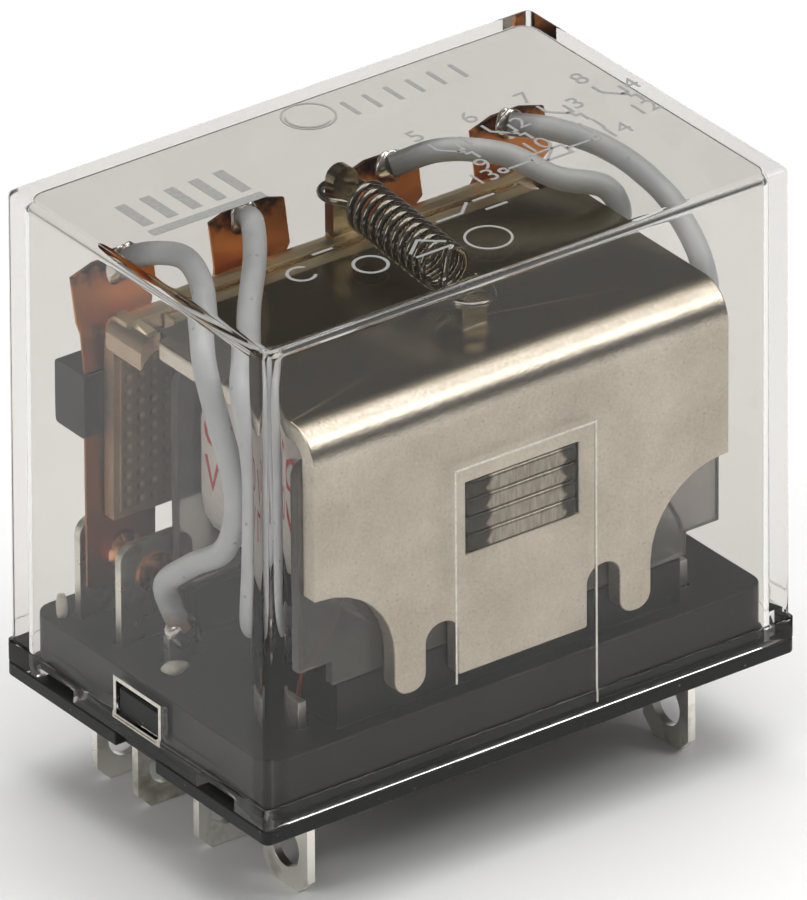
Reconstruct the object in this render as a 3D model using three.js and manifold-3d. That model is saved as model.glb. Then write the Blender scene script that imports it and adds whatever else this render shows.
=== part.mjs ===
// Four-pole changeover relay with fourteen blade terminals under a clear cover, at rest.
// Millimetres. X runs along the long side, +Y points to the contacts, +Z is up.
// The origin is the centre of the base's underside.
import * as THREE from 'three';
import { mergeVertices } from 'three/addons/utils/BufferGeometryUtils.js';
import Module from 'manifold-3d';

const wasm = await Module();
wasm.setup();

// ---- Driving dimensions -------------------------------------------------------------------

// Clear cover, measured at its rim.
const coverLength = 41.5;
const coverWidth = 27.75;
const coverTop = 35;
const coverWall = 0.85;
const coverDraft = 0.0033;
const coverCorner = 0.45;
const coverInnerCorner = 1.3;
const coverEdge = 0.4;
const coverPanel = { halfWidth: 5.5, top: 21.7, depth: 0.12 };
const rimBead = { height: 1.4, out: 0.2 };
const latch = { halfWidth: 2.3, bottom: 2.2, top: 4.7, play: 0.2 };
const rimNotch = { width: 4, height: 0.9, inset: 3.2 };

// Base.
const flangeThickness = 1;
const flangeCorner = 0.5;
const blockTop = 5;
const blockPlay = 0.4;
const seatTop = 8.2;
const joinGap = 0.1;

// Blade terminals and contact plates.
const poleCount = 4;
const poleSideRoom = 2.2;
const stripThickness = 0.6;
const bladeWidth = 4.8;
const bladeReach = 7.1;
const bladeChamfer = 1;
const eyeletDiameter = 3;
const eyeletDrop = 4.3;
const eyeletSegments = 12;
const plateWidth = 5.4;
const plateTop = 11.9;
const plateCorner = 1.1;
const ncFromWall = 3.27;
const noBeforeNc = 4.45;
const bladeStep = 0.6;
const commonBladeFront = -1.9;
const coilBladeFromWall = 5.45;
const coilBladeInset = 4.8;
const tabTop = 6.8;
const tabWidth = 2.4;

// Contacts.
const contactHeight = 9.5;
const contactDiameter = 2.75;
const shankDiameter = 1.4;
const ncHead = 0.25;
const noHead = 0.95;
const movingFrontHead = 1.1;
const movingBackHead = 0.3;
const rivetTail = 0.35;

// Moving springs and the block that carries them.
const springThickness = 0.2;
const springBottom = 7.3;
const springFromNc = 0.6;
const springTabWidth = 5.9;
const springTabChamfer = [1.8, 0.5];
const springAboveYoke = 2.5;
const springTabShift = [0, 0.4, 0.9, 1];
const springTabLean = 1.1;
const holderDepth = 3.25;
const holderWall = 0.3;
const holderBelowYoke = 4.5;
const holderHeight = 4.6;
const holderOverhang = 0.25;
const pegDiameter = 1.8;
const pegSpacing = 20;

// Yoke.
const yokeThickness = 1.3;
const yokeCoverGap = 0.22;
const yokeSideRoom = 3.6;
const headRoom = 6.65;
const yokeBend = 2.5;
const yokeFoot = 6.65;
const yokeScallop = 5.9;
const yokeScallopTop = 15.6;
const yokeLeg = { inner: 7.65, outer: 10.1 };
const yokePanel = 5.1;
const yokeSlotTop = 10.9;
const yokeEarNotch = { width: 1, length: 2.8 };
const yokeRearNotch = { width: 2.6, length: 1.8 };

// Core, bobbin and coil.
const laminationCount = 4;
const laminationThickness = 1.27;
const coreWidth = 8.8;
const corePlay = 0.06;
const airGap = 0.5;
const bobbinWall = 0.8;
const bobbinFrontOverhang = 0.3;
const bobbinStep = { halfWidth: 14, height: 1.7 };
const bobbinRearHalfWidth = 14;
const bobbinRearAboveCore = 6.6;
const coilSide = 12.4;
const coilMargin = 1.5;
const labelThickness = 0.15;
const shadingBar = 0.45;

// Armature.
const armatureThickness = 1;
const armatureTilt = THREE.MathUtils.degToRad(1);
const armatureBehindYoke = 0.1;
const armatureLegBehindGroove = 1.45;
const armatureBend = 1.8;
const armatureSideRoom = 3.4;
const armatureFootRoom = 0.65;
const ear = { width: 1.5, forward: 2.2, backward: 1.6, drop: 1.1, thickness: 1.2, clear: 0.2 };

// Return spring and the two tabs it is hooked on.
const hookTab = { x: 0.7, width: 2, thickness: 0.9, rise: 4.8, radius: 1 };
const lance = { x: 0.5, front: -7.2, width: 2, thickness: 0.9, rise: 2.6, radius: 1 };
const returnWire = 0.4;
const returnDiameter = 3.5;
const returnTurns = 11.5;
const returnRise = 2.85;

// Leads.
const leadDiameter = 1.55;
const coilLeadDiameter = 0.3;
const solderGap = 0.3;

// ---- Sizes worked out from the driving dimensions -----------------------------------------

const insideLength = coverLength - 2 * coverWall;
const insideWidth = coverWidth - 2 * coverWall;
const rimHeight = flangeThickness + joinGap;
const blockLength = insideLength - 2 * blockPlay;
const blockWidth = insideWidth - 2 * blockPlay;
const polePitch = (insideLength - 2 * poleSideRoom - plateWidth) / (poleCount - 1);
const poleX = [...Array(poleCount).keys()].map((i) => (i - (poleCount - 1) / 2) * polePitch);

const ncFront = insideWidth / 2 - ncFromWall;
const noFront = ncFront - noBeforeNc;
const springBack = ncFront - springFromNc;
const springFront = springBack - springThickness;
const coilBladeY = -(coverWidth / 2 - coilBladeFromWall);
const coilBladeX = insideLength / 2 - coilBladeInset;

const yokeTop = coverTop - coverWall - headRoom;
const yokeUnder = yokeTop - yokeThickness;
const springTop = yokeTop + springAboveYoke;
const yokeFront = -(insideWidth / 2 - yokeCoverGap);
const yokeInside = yokeFront + yokeThickness;
const yokeHalf = insideLength / 2 - yokeSideRoom;
const holderFront = springFront - holderWall;
const yokeRear = ncFront - 3.85;

const coreHeight = laminationCount * laminationThickness;
const coreMiddle = (seatTop + yokeUnder) / 2 + 0.5;
const coreBottom = coreMiddle - coreHeight / 2;

const grooveY = yokeRear + armatureBehindYoke;
const armatureHalf = insideLength / 2 - armatureSideRoom;
const armatureFoot = plateTop + armatureFootRoom;
const legFront = grooveY + armatureLegBehindGroove;
const legTop = yokeTop - armatureBend;
const legFrontAt = (z) => legFront + Math.tan(armatureTilt) * (legTop - z);
const coreRear = legFrontAt(coreMiddle) - airGap;

const bobbinFront = yokeInside + joinGap;
const bobbinRear = noFront - rivetTail - joinGap;
const coilHalfHeight = Math.min(coreMiddle - seatTop, yokeUnder - coreMiddle) - coilMargin;

// ---- Finishes -----------------------------------------------------------------------------

const finish = (colour, roughness, metalness) =>
  new THREE.MeshStandardMaterial({ color: colour, roughness, metalness });
const clearPlastic = finish(0xe4e2de, 0.1, 0);
clearPlastic.transparent = true;
clearPlastic.opacity = 0.25;
const blackPlastic = finish(0x303032, 0.45, 0);
const nickel = finish(0xb5ab9c, 0.35, 1);
const tin = finish(0xc9c5bd, 0.3, 1);
const silicon = finish(0x9a948a, 0.4, 1);
const copperStrip = finish(0xa8663a, 0.4, 1);
const contactCopper = finish(0xc47b4e, 0.25, 1);
const wireLacquer = finish(0x8a4b22, 0.4, 0.6);
const smokyPlastic = finish(0xa8a4a0, 0.25, 0);
const labelTape = finish(0xe6e2df, 0.6, 0);
const springSteel = finish(0x77736c, 0.25, 1);
const leadSleeve = finish(0xc9ccd2, 0.5, 0);

// ---- Building blocks ----------------------------------------------------------------------

// A closed three.js geometry as a solid that can be joined and cut.
function solid(geometry) {
  geometry.deleteAttribute('normal');
  geometry.deleteAttribute('uv');
  const merged = mergeVertices(geometry, 1e-4);
  return new wasm.Manifold(new wasm.Mesh({
    numProp: 3,
    vertProperties: new Float32Array(merged.attributes.position.array),
    triVerts: new Uint32Array(merged.index.array),
  }));
}

function box([x0, y0, z0], [x1, y1, z1]) {
  const geometry = new THREE.BoxGeometry(x1 - x0, y1 - y0, z1 - z0);
  geometry.translate((x0 + x1) / 2, (y0 + y1) / 2, (z0 + z1) / 2);
  return solid(geometry);
}

const grown = ([low, high], gap) => [low.map((v) => v - gap), high.map((v) => v + gap)];

// An outline from [u, v, radius] corners; a corner with a radius is rounded.
function outline(corners) {
  const path = new THREE.Shape();
  const count = corners.length;
  corners.forEach(([u, v, radius = 0], i) => {
    const here = new THREE.Vector2(u, v);
    const before = new THREE.Vector2(...corners[(i + count - 1) % count]).sub(here);
    const after = new THREE.Vector2(...corners[(i + 1) % count]).sub(here);
    const entry = here.clone().addScaledVector(before.normalize(), radius);
    const exit = here.clone().addScaledVector(after.normalize(), radius);
    if (i === 0) path.moveTo(entry.x, entry.y);
    else path.lineTo(entry.x, entry.y);
    if (radius > 0) {
      const weight = 0.55;
      path.bezierCurveTo(
        entry.x + (u - entry.x) * weight, entry.y + (v - entry.y) * weight,
        exit.x + (u - exit.x) * weight, exit.y + (v - exit.y) * weight, exit.x, exit.y);
    }
  });
  path.closePath();
  return path;
}

const rectangle = (halfU, halfV, radius) => outline([
  [-halfU, -halfV, radius], [halfU, -halfV, radius], [halfU, halfV, radius], [-halfU, halfV, radius]]);

const mirrored = (corners) => [
  ...corners, ...corners.map(([u, v, radius]) => [-u, v, radius]).reverse()];

// Extrudes an outline between two places on an axis. It is drawn in (y, z) for x,
// in (x, z) for y and in (x, y) for z.
function slab(shape, axis, from, to, curveSegments = 5) {
  const geometry = new THREE.ExtrudeGeometry(shape, { depth: to - from, bevelEnabled: false, curveSegments });
  const X = new THREE.Vector3(1, 0, 0);
  const Y = new THREE.Vector3(0, 1, 0);
  const Z = new THREE.Vector3(0, 0, 1);
  const frames = { x: [Y, Z, X], y: [X, Z, Y.clone().negate()], z: [X, Y, Z] };
  geometry.applyMatrix4(new THREE.Matrix4().makeBasis(...frames[axis]));
  const start = axis === 'y' ? to : from;
  geometry.translate(axis === 'x' ? start : 0, axis === 'y' ? start : 0, axis === 'z' ? start : 0);
  return solid(geometry);
}

// A turned piece about an axis parallel to Y: profile of [radius, y] from one pole to the other.
function turned(profile, x, z, segments = 12) {
  const points = profile.map(([radius, y]) => new THREE.Vector2(radius, y));
  const geometry = new THREE.LatheGeometry(points, segments);
  geometry.translate(x, 0, z);
  return solid(geometry);
}

// Narrows a drafted moulding towards its top, as far as its height above the rim asks.
function drafted(geometry) {
  const position = geometry.attributes.position;
  for (let i = 0; i < position.count; i++) {
    const inward = coverDraft * (position.getZ(i) - rimHeight);
    const x = position.getX(i);
    const y = position.getY(i);
    position.setXY(i, x - Math.sign(x) * inward, y - Math.sign(y) * inward);
  }
  return geometry;
}

// A rounded block with softened top edges, for the outside and the inside of the cover.
function coverBlock(length, width, corner, edge, bottom, top) {
  const geometry = new THREE.ExtrudeGeometry(rectangle(length / 2, width / 2, corner), {
    depth: top - bottom - 2 * edge,
    bevelThickness: edge,
    bevelSize: edge,
    bevelOffset: -edge,
    bevelSegments: 4,
    curveSegments: 6,
  });
  geometry.translate(0, 0, bottom + edge);
  return solid(drafted(geometry));
}

// A round wire or sleeve along a smooth curve through the points.
function wire(points, diameter, sides, steps) {
  const curve = new THREE.CatmullRomCurve3(points.map((p) => new THREE.Vector3(...p)));
  const section = new THREE.Shape();
  for (let i = 0; i < sides; i++) {
    const angle = (2 * Math.PI * i) / sides;
    const place = [diameter / 2 * Math.cos(angle), diameter / 2 * Math.sin(angle)];
    if (i === 0) section.moveTo(...place);
    else section.lineTo(...place);
  }
  section.closePath();
  return solid(new THREE.ExtrudeGeometry(section, { extrudePath: curve, steps, bevelEnabled: false }));
}

const relay = new THREE.Group();

function piece(parent, name, body, material) {
  const { vertProperties, triVerts } = body.getMesh();
  const geometry = new THREE.BufferGeometry();
  geometry.setAttribute('position', new THREE.BufferAttribute(vertProperties, 3));
  geometry.setIndex(new THREE.BufferAttribute(triVerts, 1));
  geometry.computeVertexNormals();
  const mesh = new THREE.Mesh(geometry, material);
  mesh.name = name;
  parent.add(mesh);
}

// ---- Terminals ----------------------------------------------------------------------------

// The blade below the base, in (across, height): chamfered tip and a solder eyelet.
function bladeOutline(across, top) {
  const half = bladeWidth / 2;
  const blade = outline([
    [across - half, top], [across - half, bladeChamfer - bladeReach],
    [across - half + bladeChamfer, -bladeReach], [across + half - bladeChamfer, -bladeReach],
    [across + half, bladeChamfer - bladeReach], [across + half, top]]);
  const eyelet = new THREE.Path();
  eyelet.absarc(across, -eyeletDrop, eyeletDiameter / 2, 0, 2 * Math.PI, true);
  blade.holes.push(eyelet);
  return blade;
}

const shankHole = shankDiameter / 2 + 0.05;
const embedTop = flangeThickness + 1.6;
const linkBottom = embedTop - stripThickness;

// Each terminal is a blade with boxes above it; the base is cut by the same boxes, grown.
const bladeCut = (x, front) => [
  [x - bladeWidth / 2, front, -1], [x + bladeWidth / 2, front + stripThickness, embedTop]];

function contactTerminal(front, bladeFront) {
  const back = front + stripThickness;
  const half = plateWidth / 2;
  const plate = outline([
    [-half, linkBottom], [half, linkBottom], [half, plateTop, plateCorner], [-half, plateTop, plateCorner]]);
  const link = [[-bladeWidth / 2, bladeFront, linkBottom], [bladeWidth / 2, back, embedTop]];
  const hole = turned(
    [[0, front - 1], [shankHole, front - 1], [shankHole, back + 1], [0, back + 1]], 0, contactHeight);
  const body = slab(plate, 'y', front, back)
    .add(slab(bladeOutline(0, embedTop), 'y', bladeFront, bladeFront + stripThickness, eyeletSegments))
    .add(box(...link))
    .subtract(hole);
  const cuts = [link, [[-half, front, linkBottom], [half, back, blockTop + 1]]];
  return { body, cuts };
}

const ncTerminal = contactTerminal(ncFront, ncFront - bladeStep);
const noTerminal = contactTerminal(noFront, noFront - bladeStep);

// The outer commons come up behind their blades, the inner ones beside the coil.
const outerTabX = Math.abs(poleX[0]) + 0.5;
const innerTabX = Math.abs(poleX[1]) + 5.5;
const tabPlaces = [
  [-outerTabX, commonBladeFront + 3.4], [-innerTabX, commonBladeFront],
  [innerTabX, commonBladeFront], [outerTabX, commonBladeFront + 3.4]];
const commonBoxes = tabPlaces.map(([tabX, tabFront], i) => {
  const x = poleX[i];
  const tabBack = tabFront + stripThickness;
  const strip = [
    [Math.min(x, tabX) - tabWidth / 2, commonBladeFront, linkBottom],
    [Math.max(x, tabX) + tabWidth / 2, Math.max(tabBack, commonBladeFront + stripThickness), embedTop]];
  const tab = [[tabX - tabWidth / 2, tabFront, linkBottom], [tabX + tabWidth / 2, tabBack, tabTop]];
  return [strip, tab];
});
const commonTerminal = (i) => slab(bladeOutline(poleX[i], embedTop), 'y',
  commonBladeFront, commonBladeFront + stripThickness, eyeletSegments)
  .add(box(...commonBoxes[i][0]))
  .add(box(...commonBoxes[i][1]));

const coilTab = [
  [coilBladeX - stripThickness / 2, coilBladeY - tabWidth / 2, linkBottom],
  [coilBladeX + stripThickness / 2, coilBladeY + tabWidth / 2, tabTop]];
const coilTerminal = slab(bladeOutline(coilBladeY, embedTop), 'x',
  coilBladeX - stripThickness / 2, coilBladeX + stripThickness / 2, eyeletSegments).add(box(...coilTab));

// ---- Base ---------------------------------------------------------------------------------

const flangeHalfX = coverLength / 2 + rimBead.out;
const flangeHalfY = coverWidth / 2 + rimBead.out;
const blockOutline = rectangle(blockLength / 2, blockWidth / 2, coverInnerCorner);
let base = slab(rectangle(flangeHalfX, flangeHalfY, flangeCorner), 'z', 0, flangeThickness)
  .add(slab(blockOutline, 'z', flangeThickness / 2, blockTop));
const seatFront = bobbinFront + 0.1;
const seatHalf = bobbinStep.halfWidth - 0.4;
const seats = [
  [[-seatHalf, seatFront, blockTop - 1], [seatHalf, seatFront + 4, seatTop]],
  [[-9, seatFront, blockTop - 1], [9, noFront - bladeStep, seatTop]],
  [[-13, noFront - bladeStep - 1, blockTop - 1], [13, noFront - rivetTail - 0.05, seatTop]],
];
for (const seat of seats) {
  base = base.add(box(...seat));
}
for (const side of [-1, 1]) {
  const tongue = [
    [side * (blockLength / 2 - 0.5), -latch.halfWidth + latch.play, latch.bottom + latch.play],
    [side * (coverLength / 2 - 0.15), latch.halfWidth - latch.play, latch.top - 0.5]];
  const ordered = [
    tongue[0].map((v, i) => Math.min(v, tongue[1][i])), tongue[0].map((v, i) => Math.max(v, tongue[1][i]))];
  base = base.add(box(...ordered));
  const relief = side * flangeHalfX;
  base = base.subtract(box(
    [relief - 0.8, -latch.halfWidth + 0.15, -1],
    [relief + 0.8, latch.halfWidth - 0.15, flangeThickness + 1]));
}
const baseCuts = [];
poleX.forEach((x, i) => {
  const shifted = ([low, high]) => [[low[0] + x, low[1], low[2]], [high[0] + x, high[1], high[2]]];
  baseCuts.push(...ncTerminal.cuts.map(shifted), ...noTerminal.cuts.map(shifted));
  for (const front of [ncFront - bladeStep, noFront - bladeStep, commonBladeFront]) {
    baseCuts.push(bladeCut(x, front));
  }
  baseCuts.push(...commonBoxes[i]);
});
for (const side of [-1, 1]) {
  const across = side * coilBladeX;
  for (const [half, low, high] of [[bladeWidth / 2, -1, embedTop], [tabWidth / 2, linkBottom, tabTop]]) {
    baseCuts.push([
      [across - stripThickness / 2, coilBladeY - half, low],
      [across + stripThickness / 2, coilBladeY + half, high]]);
  }
}
for (const cut of baseCuts) {
  base = base.subtract(box(...grown(cut, joinGap)));
}
piece(relay, 'base', base, blackPlastic);

// ---- Cover --------------------------------------------------------------------------------

const beadOutline = rectangle(coverLength / 2 + rimBead.out, coverWidth / 2 + rimBead.out, coverCorner);
let cover = coverBlock(coverLength, coverWidth, coverCorner, coverEdge, rimHeight - 2, coverTop)
  .add(slab(beadOutline, 'z', rimHeight - 1, rimHeight + rimBead.height, 4))
  .subtract(coverBlock(insideLength, insideWidth, coverInnerCorner, 0.3, -6, coverTop - coverWall))
  .subtract(box([-coverLength, -coverWidth, -10], [coverLength, coverWidth, rimHeight]));
for (const side of [-1, 1]) {
  const [near, far] = [side * (insideLength / 2 - 1), side * (coverLength / 2 + 1)].sort((a, b) => a - b);
  cover = cover.subtract(box([near, -latch.halfWidth, latch.bottom], [far, latch.halfWidth, latch.top]));
  for (const end of [-1, 1]) {
    const middle = end * (coverWidth / 2 - rimNotch.inset - rimNotch.width / 2);
    cover = cover.subtract(box(
      [near, middle - rimNotch.width / 2, rimHeight - 1],
      [far, middle + rimNotch.width / 2, rimHeight + rimNotch.height]));
  }
}
cover = cover.subtract(box(
  [-coverPanel.halfWidth, -insideWidth / 2 - coverPanel.depth, rimHeight - 1],
  [coverPanel.halfWidth, -insideWidth / 2 + 1, coverPanel.top]));
piece(relay, 'cover', cover, clearPlastic);

// ---- Yoke ---------------------------------------------------------------------------------

const ell = outline([
  [yokeFront, yokeFoot], [yokeInside, yokeFoot], [yokeInside, yokeUnder, yokeBend - yokeThickness],
  [yokeRear, yokeUnder], [yokeRear, yokeTop], [yokeFront, yokeTop, yokeBend]]);
const frontOutline = outline(mirrored([
  [yokeHalf, yokeTop + 5], [yokeHalf, yokeScallopTop], [yokeLeg.outer, yokeScallopTop, yokeScallop],
  [yokeLeg.outer, yokeFoot, 1.1], [yokeLeg.inner, yokeFoot, 1.1], [yokeLeg.inner, yokeSlotTop, 1.2],
  [yokePanel, yokeSlotTop, 1.2], [yokePanel, yokeFoot, 0.2]]));
const planOutline = outline(mirrored([
  [yokeHalf, yokeFront - 1], [yokeHalf, yokeRear - yokeEarNotch.length, 0.4],
  [yokeHalf - yokeEarNotch.width, yokeRear - yokeEarNotch.length, 0.4],
  [yokeHalf - yokeEarNotch.width, yokeRear - yokeRearNotch.length],
  [yokeHalf - yokeRearNotch.width, yokeRear - yokeRearNotch.length, 0.8],
  [yokeHalf - yokeRearNotch.width, yokeRear + 1]]));
const window = box(
  [-coreWidth / 2 - corePlay, yokeFront - 1, coreBottom - corePlay],
  [coreWidth / 2 + corePlay, yokeInside + 1, coreBottom + coreHeight + corePlay]);

// A round-topped upright tab, drawn in (x, z), for the spring to hook on.
function uprightTab({ x, width, thickness, rise, radius }, front) {
  const half = width / 2;
  const shape = outline([
    [x - half, yokeTop - 0.5], [x + half, yokeTop - 0.5],
    [x + half, yokeTop + rise, radius], [x - half, yokeTop + rise, radius]]);
  return slab(shape, 'y', front, front + thickness);
}

const yoke = slab(ell, 'x', -yokeHalf, yokeHalf, 6)
  .intersect(slab(frontOutline, 'y', yokeFront - 1, yokeRear + 1, 8))
  .intersect(slab(planOutline, 'z', yokeFoot - 1, yokeTop + 1))
  .subtract(window)
  .add(uprightTab(lance, lance.front));
piece(relay, 'yoke', yoke, nickel);

// ---- Core, bobbin, coil -------------------------------------------------------------------

const shadedFrom = 2;
const shadingSlot = { front: coreRear - 1.5, depth: shadingBar + 0.1 };
for (let i = 0; i < laminationCount; i++) {
  const bottom = coreBottom + i * laminationThickness;
  let lamination = slab(outline([
    [-coreWidth / 2, yokeFront - 0.05, 0.5], [coreWidth / 2, yokeFront - 0.05, 0.5],
    [coreWidth / 2, coreRear, 0.2], [-coreWidth / 2, coreRear, 0.2]]),
  'z', bottom + 0.01, bottom + laminationThickness - 0.01);
  if (i === shadedFrom) {
    lamination = lamination.subtract(box(
      [-coreWidth, shadingSlot.front, bottom - 1], [coreWidth, coreRear + 1, bottom + shadingSlot.depth]));
  }
  piece(relay, `core_lamination_${i + 1}`, lamination, silicon);
}

const shadedBottom = coreBottom + shadedFrom * laminationThickness;
const shadingOutside = [
  [-coreWidth / 2 - shadingBar - 0.05, shadingSlot.front + 0.1, shadedBottom + 0.04],
  [coreWidth / 2 + shadingBar + 0.05, coreRear - 0.1, coreBottom + coreHeight + shadingBar + 0.05]];
const shadingInside = [
  [-coreWidth / 2 - 0.05, coreRear - 9, shadingOutside[0][2] + shadingBar],
  [coreWidth / 2 + 0.05, coreRear + 9, coreBottom + coreHeight + 0.05]];
piece(relay, 'shading_ring', box(...shadingOutside).subtract(box(...shadingInside)), contactCopper);

const tubeGap = 0.1;
const tubeHalf = [coreWidth / 2 + tubeGap + bobbinWall, coreHeight / 2 + tubeGap + bobbinWall];
const centredOutline = (halfX, halfZ, radius) => outline([
  [-halfX, coreMiddle - halfZ, radius], [halfX, coreMiddle - halfZ, radius],
  [halfX, coreMiddle + halfZ, radius], [-halfX, coreMiddle + halfZ, radius]]);
const frontFlange = outline(mirrored([
  [yokeHalf + bobbinFrontOverhang, yokeUnder - yokeBend + yokeThickness - joinGap, 1],
  [yokeHalf + bobbinFrontOverhang, seatTop + joinGap + bobbinStep.height],
  [bobbinStep.halfWidth, seatTop + joinGap + bobbinStep.height], [bobbinStep.halfWidth, seatTop + joinGap]]));
const rearFlange = outline(mirrored([
  [bobbinRearHalfWidth, coreMiddle + bobbinRearAboveCore, 1.5],
  [bobbinRearHalfWidth, seatTop + joinGap, 0.5]]));
const shadingRoom = shadingOutside[0][1] - 0.2;
const bobbin = slab(frontFlange, 'y', bobbinFront, bobbinFront + bobbinWall)
  .add(slab(rearFlange, 'y', bobbinRear - bobbinWall, bobbinRear))
  .add(slab(centredOutline(...tubeHalf, 0.5), 'y', bobbinFront, bobbinRear))
  .subtract(slab(centredOutline(coreWidth / 2 + tubeGap, coreHeight / 2 + tubeGap, 0), 'y',
    bobbinFront - 1, bobbinRear + 1))
  .subtract(slab(centredOutline(coreWidth / 2 + shadingBar + 0.3, coreHeight / 2 + shadingBar + 0.3, 0), 'y',
    shadingRoom, bobbinRear + 1));
piece(relay, 'bobbin', bobbin, smokyPlastic);

const coilFront = bobbinFront + bobbinWall + joinGap;
const coilRear = bobbinRear - bobbinWall - joinGap;
const windingHole = centredOutline(tubeHalf[0] + joinGap, tubeHalf[1] + joinGap, 0.5);
const winding = slab(centredOutline(coilSide, coilHalfHeight, 4.5), 'y', coilFront, coilRear)
  .subtract(slab(windingHole, 'y', coilFront - 1, coilRear + 1));
piece(relay, 'coil_winding', winding, wireLacquer);
const wrap = [coilSide + 0.03, coilHalfHeight + 0.03];
const label = slab(centredOutline(wrap[0] + labelThickness, wrap[1] + labelThickness, 4.6), 'y',
  coilFront + 1.2, coilRear - 0.4)
  .subtract(slab(centredOutline(...wrap, 4.5), 'y', coilFront - 1, coilRear + 1));
piece(relay, 'coil_label', label, labelTape);

// ---- Fixed terminals and contacts ---------------------------------------------------------

// A rivet: a shallow domed head on one side, a shank and a tail on the other, along Y.
function rivet(front, back, frontHead, backHead, z = contactHeight) {
  const radius = contactDiameter / 2;
  const seated = 0.02;
  return turned([
    [0, front - frontHead], [radius * 0.75, front - frontHead], [radius, front - frontHead * 0.6],
    [radius, front - seated], [shankDiameter / 2, front - seated], [shankDiameter / 2, back + seated],
    [radius, back + seated], [radius, back + backHead * 0.6], [radius * 0.75, back + backHead],
    [0, back + backHead]], 0, z);
}

const ncContact = rivet(ncFront, ncFront + stripThickness, ncHead, rivetTail);
const noContact = rivet(noFront, noFront + stripThickness, rivetTail, noHead);
poleX.forEach((x, i) => {
  const pole = new THREE.Group();
  pole.position.x = x;
  relay.add(pole);
  const number = i + 1;
  piece(pole, `nc_terminal_${number}`, ncTerminal.body, tin);
  piece(pole, `no_terminal_${number}`, noTerminal.body, tin);
  piece(pole, `nc_contact_${number}`, ncContact, contactCopper);
  piece(pole, `no_contact_${number}`, noContact, contactCopper);
  piece(relay, `com_terminal_${number}`, commonTerminal(i), tin);
});

[-1, 1].forEach((side, i) => {
  const place = new THREE.Group();
  place.position.x = side < 0 ? -2 * coilBladeX : 0;
  relay.add(place);
  piece(place, `coil_terminal_${i + 1}`, coilTerminal, tin);
});

// ---- Armature -----------------------------------------------------------------------------

const legBack = legFront + armatureThickness;
const legDrop = (legTop - armatureFoot) * Math.tan(armatureTilt);
const armatureProfile = outline([
  [grooveY, yokeTop - armatureThickness], [legFront, yokeTop - armatureThickness, 0.5],
  [legFront, legTop], [legFront + legDrop, armatureFoot], [legBack + legDrop, armatureFoot],
  [legBack, legTop], [legBack, yokeTop, armatureBend - 0.1], [grooveY, yokeTop]]);
const earInner = yokeHalf - yokeEarNotch.width + ear.clear;
const earOuter = earInner + ear.width;
const earLow = yokeTop - ear.drop;
function earShape(side) {
  const shape = new THREE.Shape();
  const points = [
    [earInner, yokeTop], [earInner + ear.width * 0.7, yokeTop, earOuter, earLow],
    [earOuter, earLow - ear.thickness],
    [earInner + ear.width * 0.6, yokeTop - ear.thickness, earInner, yokeTop - ear.thickness]];
  shape.moveTo(side * points[0][0], points[0][1]);
  shape.quadraticCurveTo(side * points[1][0], points[1][1], side * points[1][2], points[1][3]);
  shape.lineTo(side * points[2][0], points[2][1]);
  shape.quadraticCurveTo(side * points[3][0], points[3][1], side * points[3][2], points[3][3]);
  shape.closePath();
  return shape;
}
const pegZ = yokeTop - holderBelowYoke - holderHeight / 2;
const peg = (x, radius, from, to) => turned([[0, from], [radius, from], [radius, to], [0, to]], x, pegZ);
let armature = slab(armatureProfile, 'x', -armatureHalf, armatureHalf, 6)
  .add(uprightTab(hookTab, grooveY + 0.55));
for (const side of [-1, 1]) {
  armature = armature
    .add(slab(earShape(side), 'y', grooveY - ear.forward, grooveY + ear.backward))
    .subtract(peg(side * pegSpacing / 2, pegDiameter / 2 + 0.06, legFront - 1, legBack + 1));
}
piece(relay, 'armature', armature, nickel);

// ---- Contact holder, moving springs and contacts ------------------------------------------

const holderTop = yokeTop - holderBelowYoke;
const holderBottom = holderTop - holderHeight;
const holderHalf = poleX[poleCount - 1] + plateWidth / 2 + holderOverhang;
const rounded = 0.3;
let holder = slab(outline([
  [holderFront, holderBottom, rounded], [holderFront + holderDepth, holderBottom, rounded],
  [holderFront + holderDepth, holderTop, rounded], [holderFront, holderTop, rounded]]),
'x', -holderHalf, holderHalf, 2);
for (const side of [-1, 1]) {
  holder = holder.add(peg(side * pegSpacing / 2, pegDiameter / 2, legFront + 0.1, holderFront + 0.5));
}
for (const x of poleX) {
  holder = holder.subtract(box(
    [x - plateWidth / 2 - 0.05, springFront - 0.05, holderBottom - 1],
    [x + plateWidth / 2 + 0.05, springBack + 0.05, holderTop + 1]));
}
piece(relay, 'contact_holder', holder, blackPlastic);

// The strip seen from the end: straight up through the holder, then leaning back.
const lean = [
  [0, springBottom], [0, holderTop + 0.3], [0.45, holderTop + 3.6], [springTabLean, springTop]];
const stripEnd = outline([
  ...lean.map(([y, z]) => [springBack + y, z]),
  ...lean.map(([y, z]) => [springFront + y, z]).reverse()]);
const tabFoot = holderTop + 2.6;
const [chamferAcross, chamferDown] = springTabChamfer;
const stripFront = (shift) => {
  const [left, right] = [shift - springTabWidth / 2, shift + springTabWidth / 2];
  return outline([
    [-plateWidth / 2, springBottom, 0.4], [plateWidth / 2, springBottom, 0.4], [plateWidth / 2, tabFoot],
    [right, tabFoot + 0.9], [right, springTop - chamferDown], [right - chamferAcross, springTop],
    [left + chamferAcross, springTop], [left, springTop - chamferDown], [left, tabFoot + 0.9],
    [-plateWidth / 2, tabFoot]]);
};
const springHole = turned([
  [0, springFront - 1], [shankHole, springFront - 1], [shankHole, springBack + 1], [0, springBack + 1]],
0, contactHeight);
const movingSpring = (shift) => slab(stripEnd, 'x', -springTabWidth, springTabWidth)
  .intersect(slab(stripFront(shift), 'y', springFront - 1, springBack + 4))
  .subtract(springHole);
const movingContact = rivet(springFront, springBack, movingFrontHead, movingBackHead);
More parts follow.
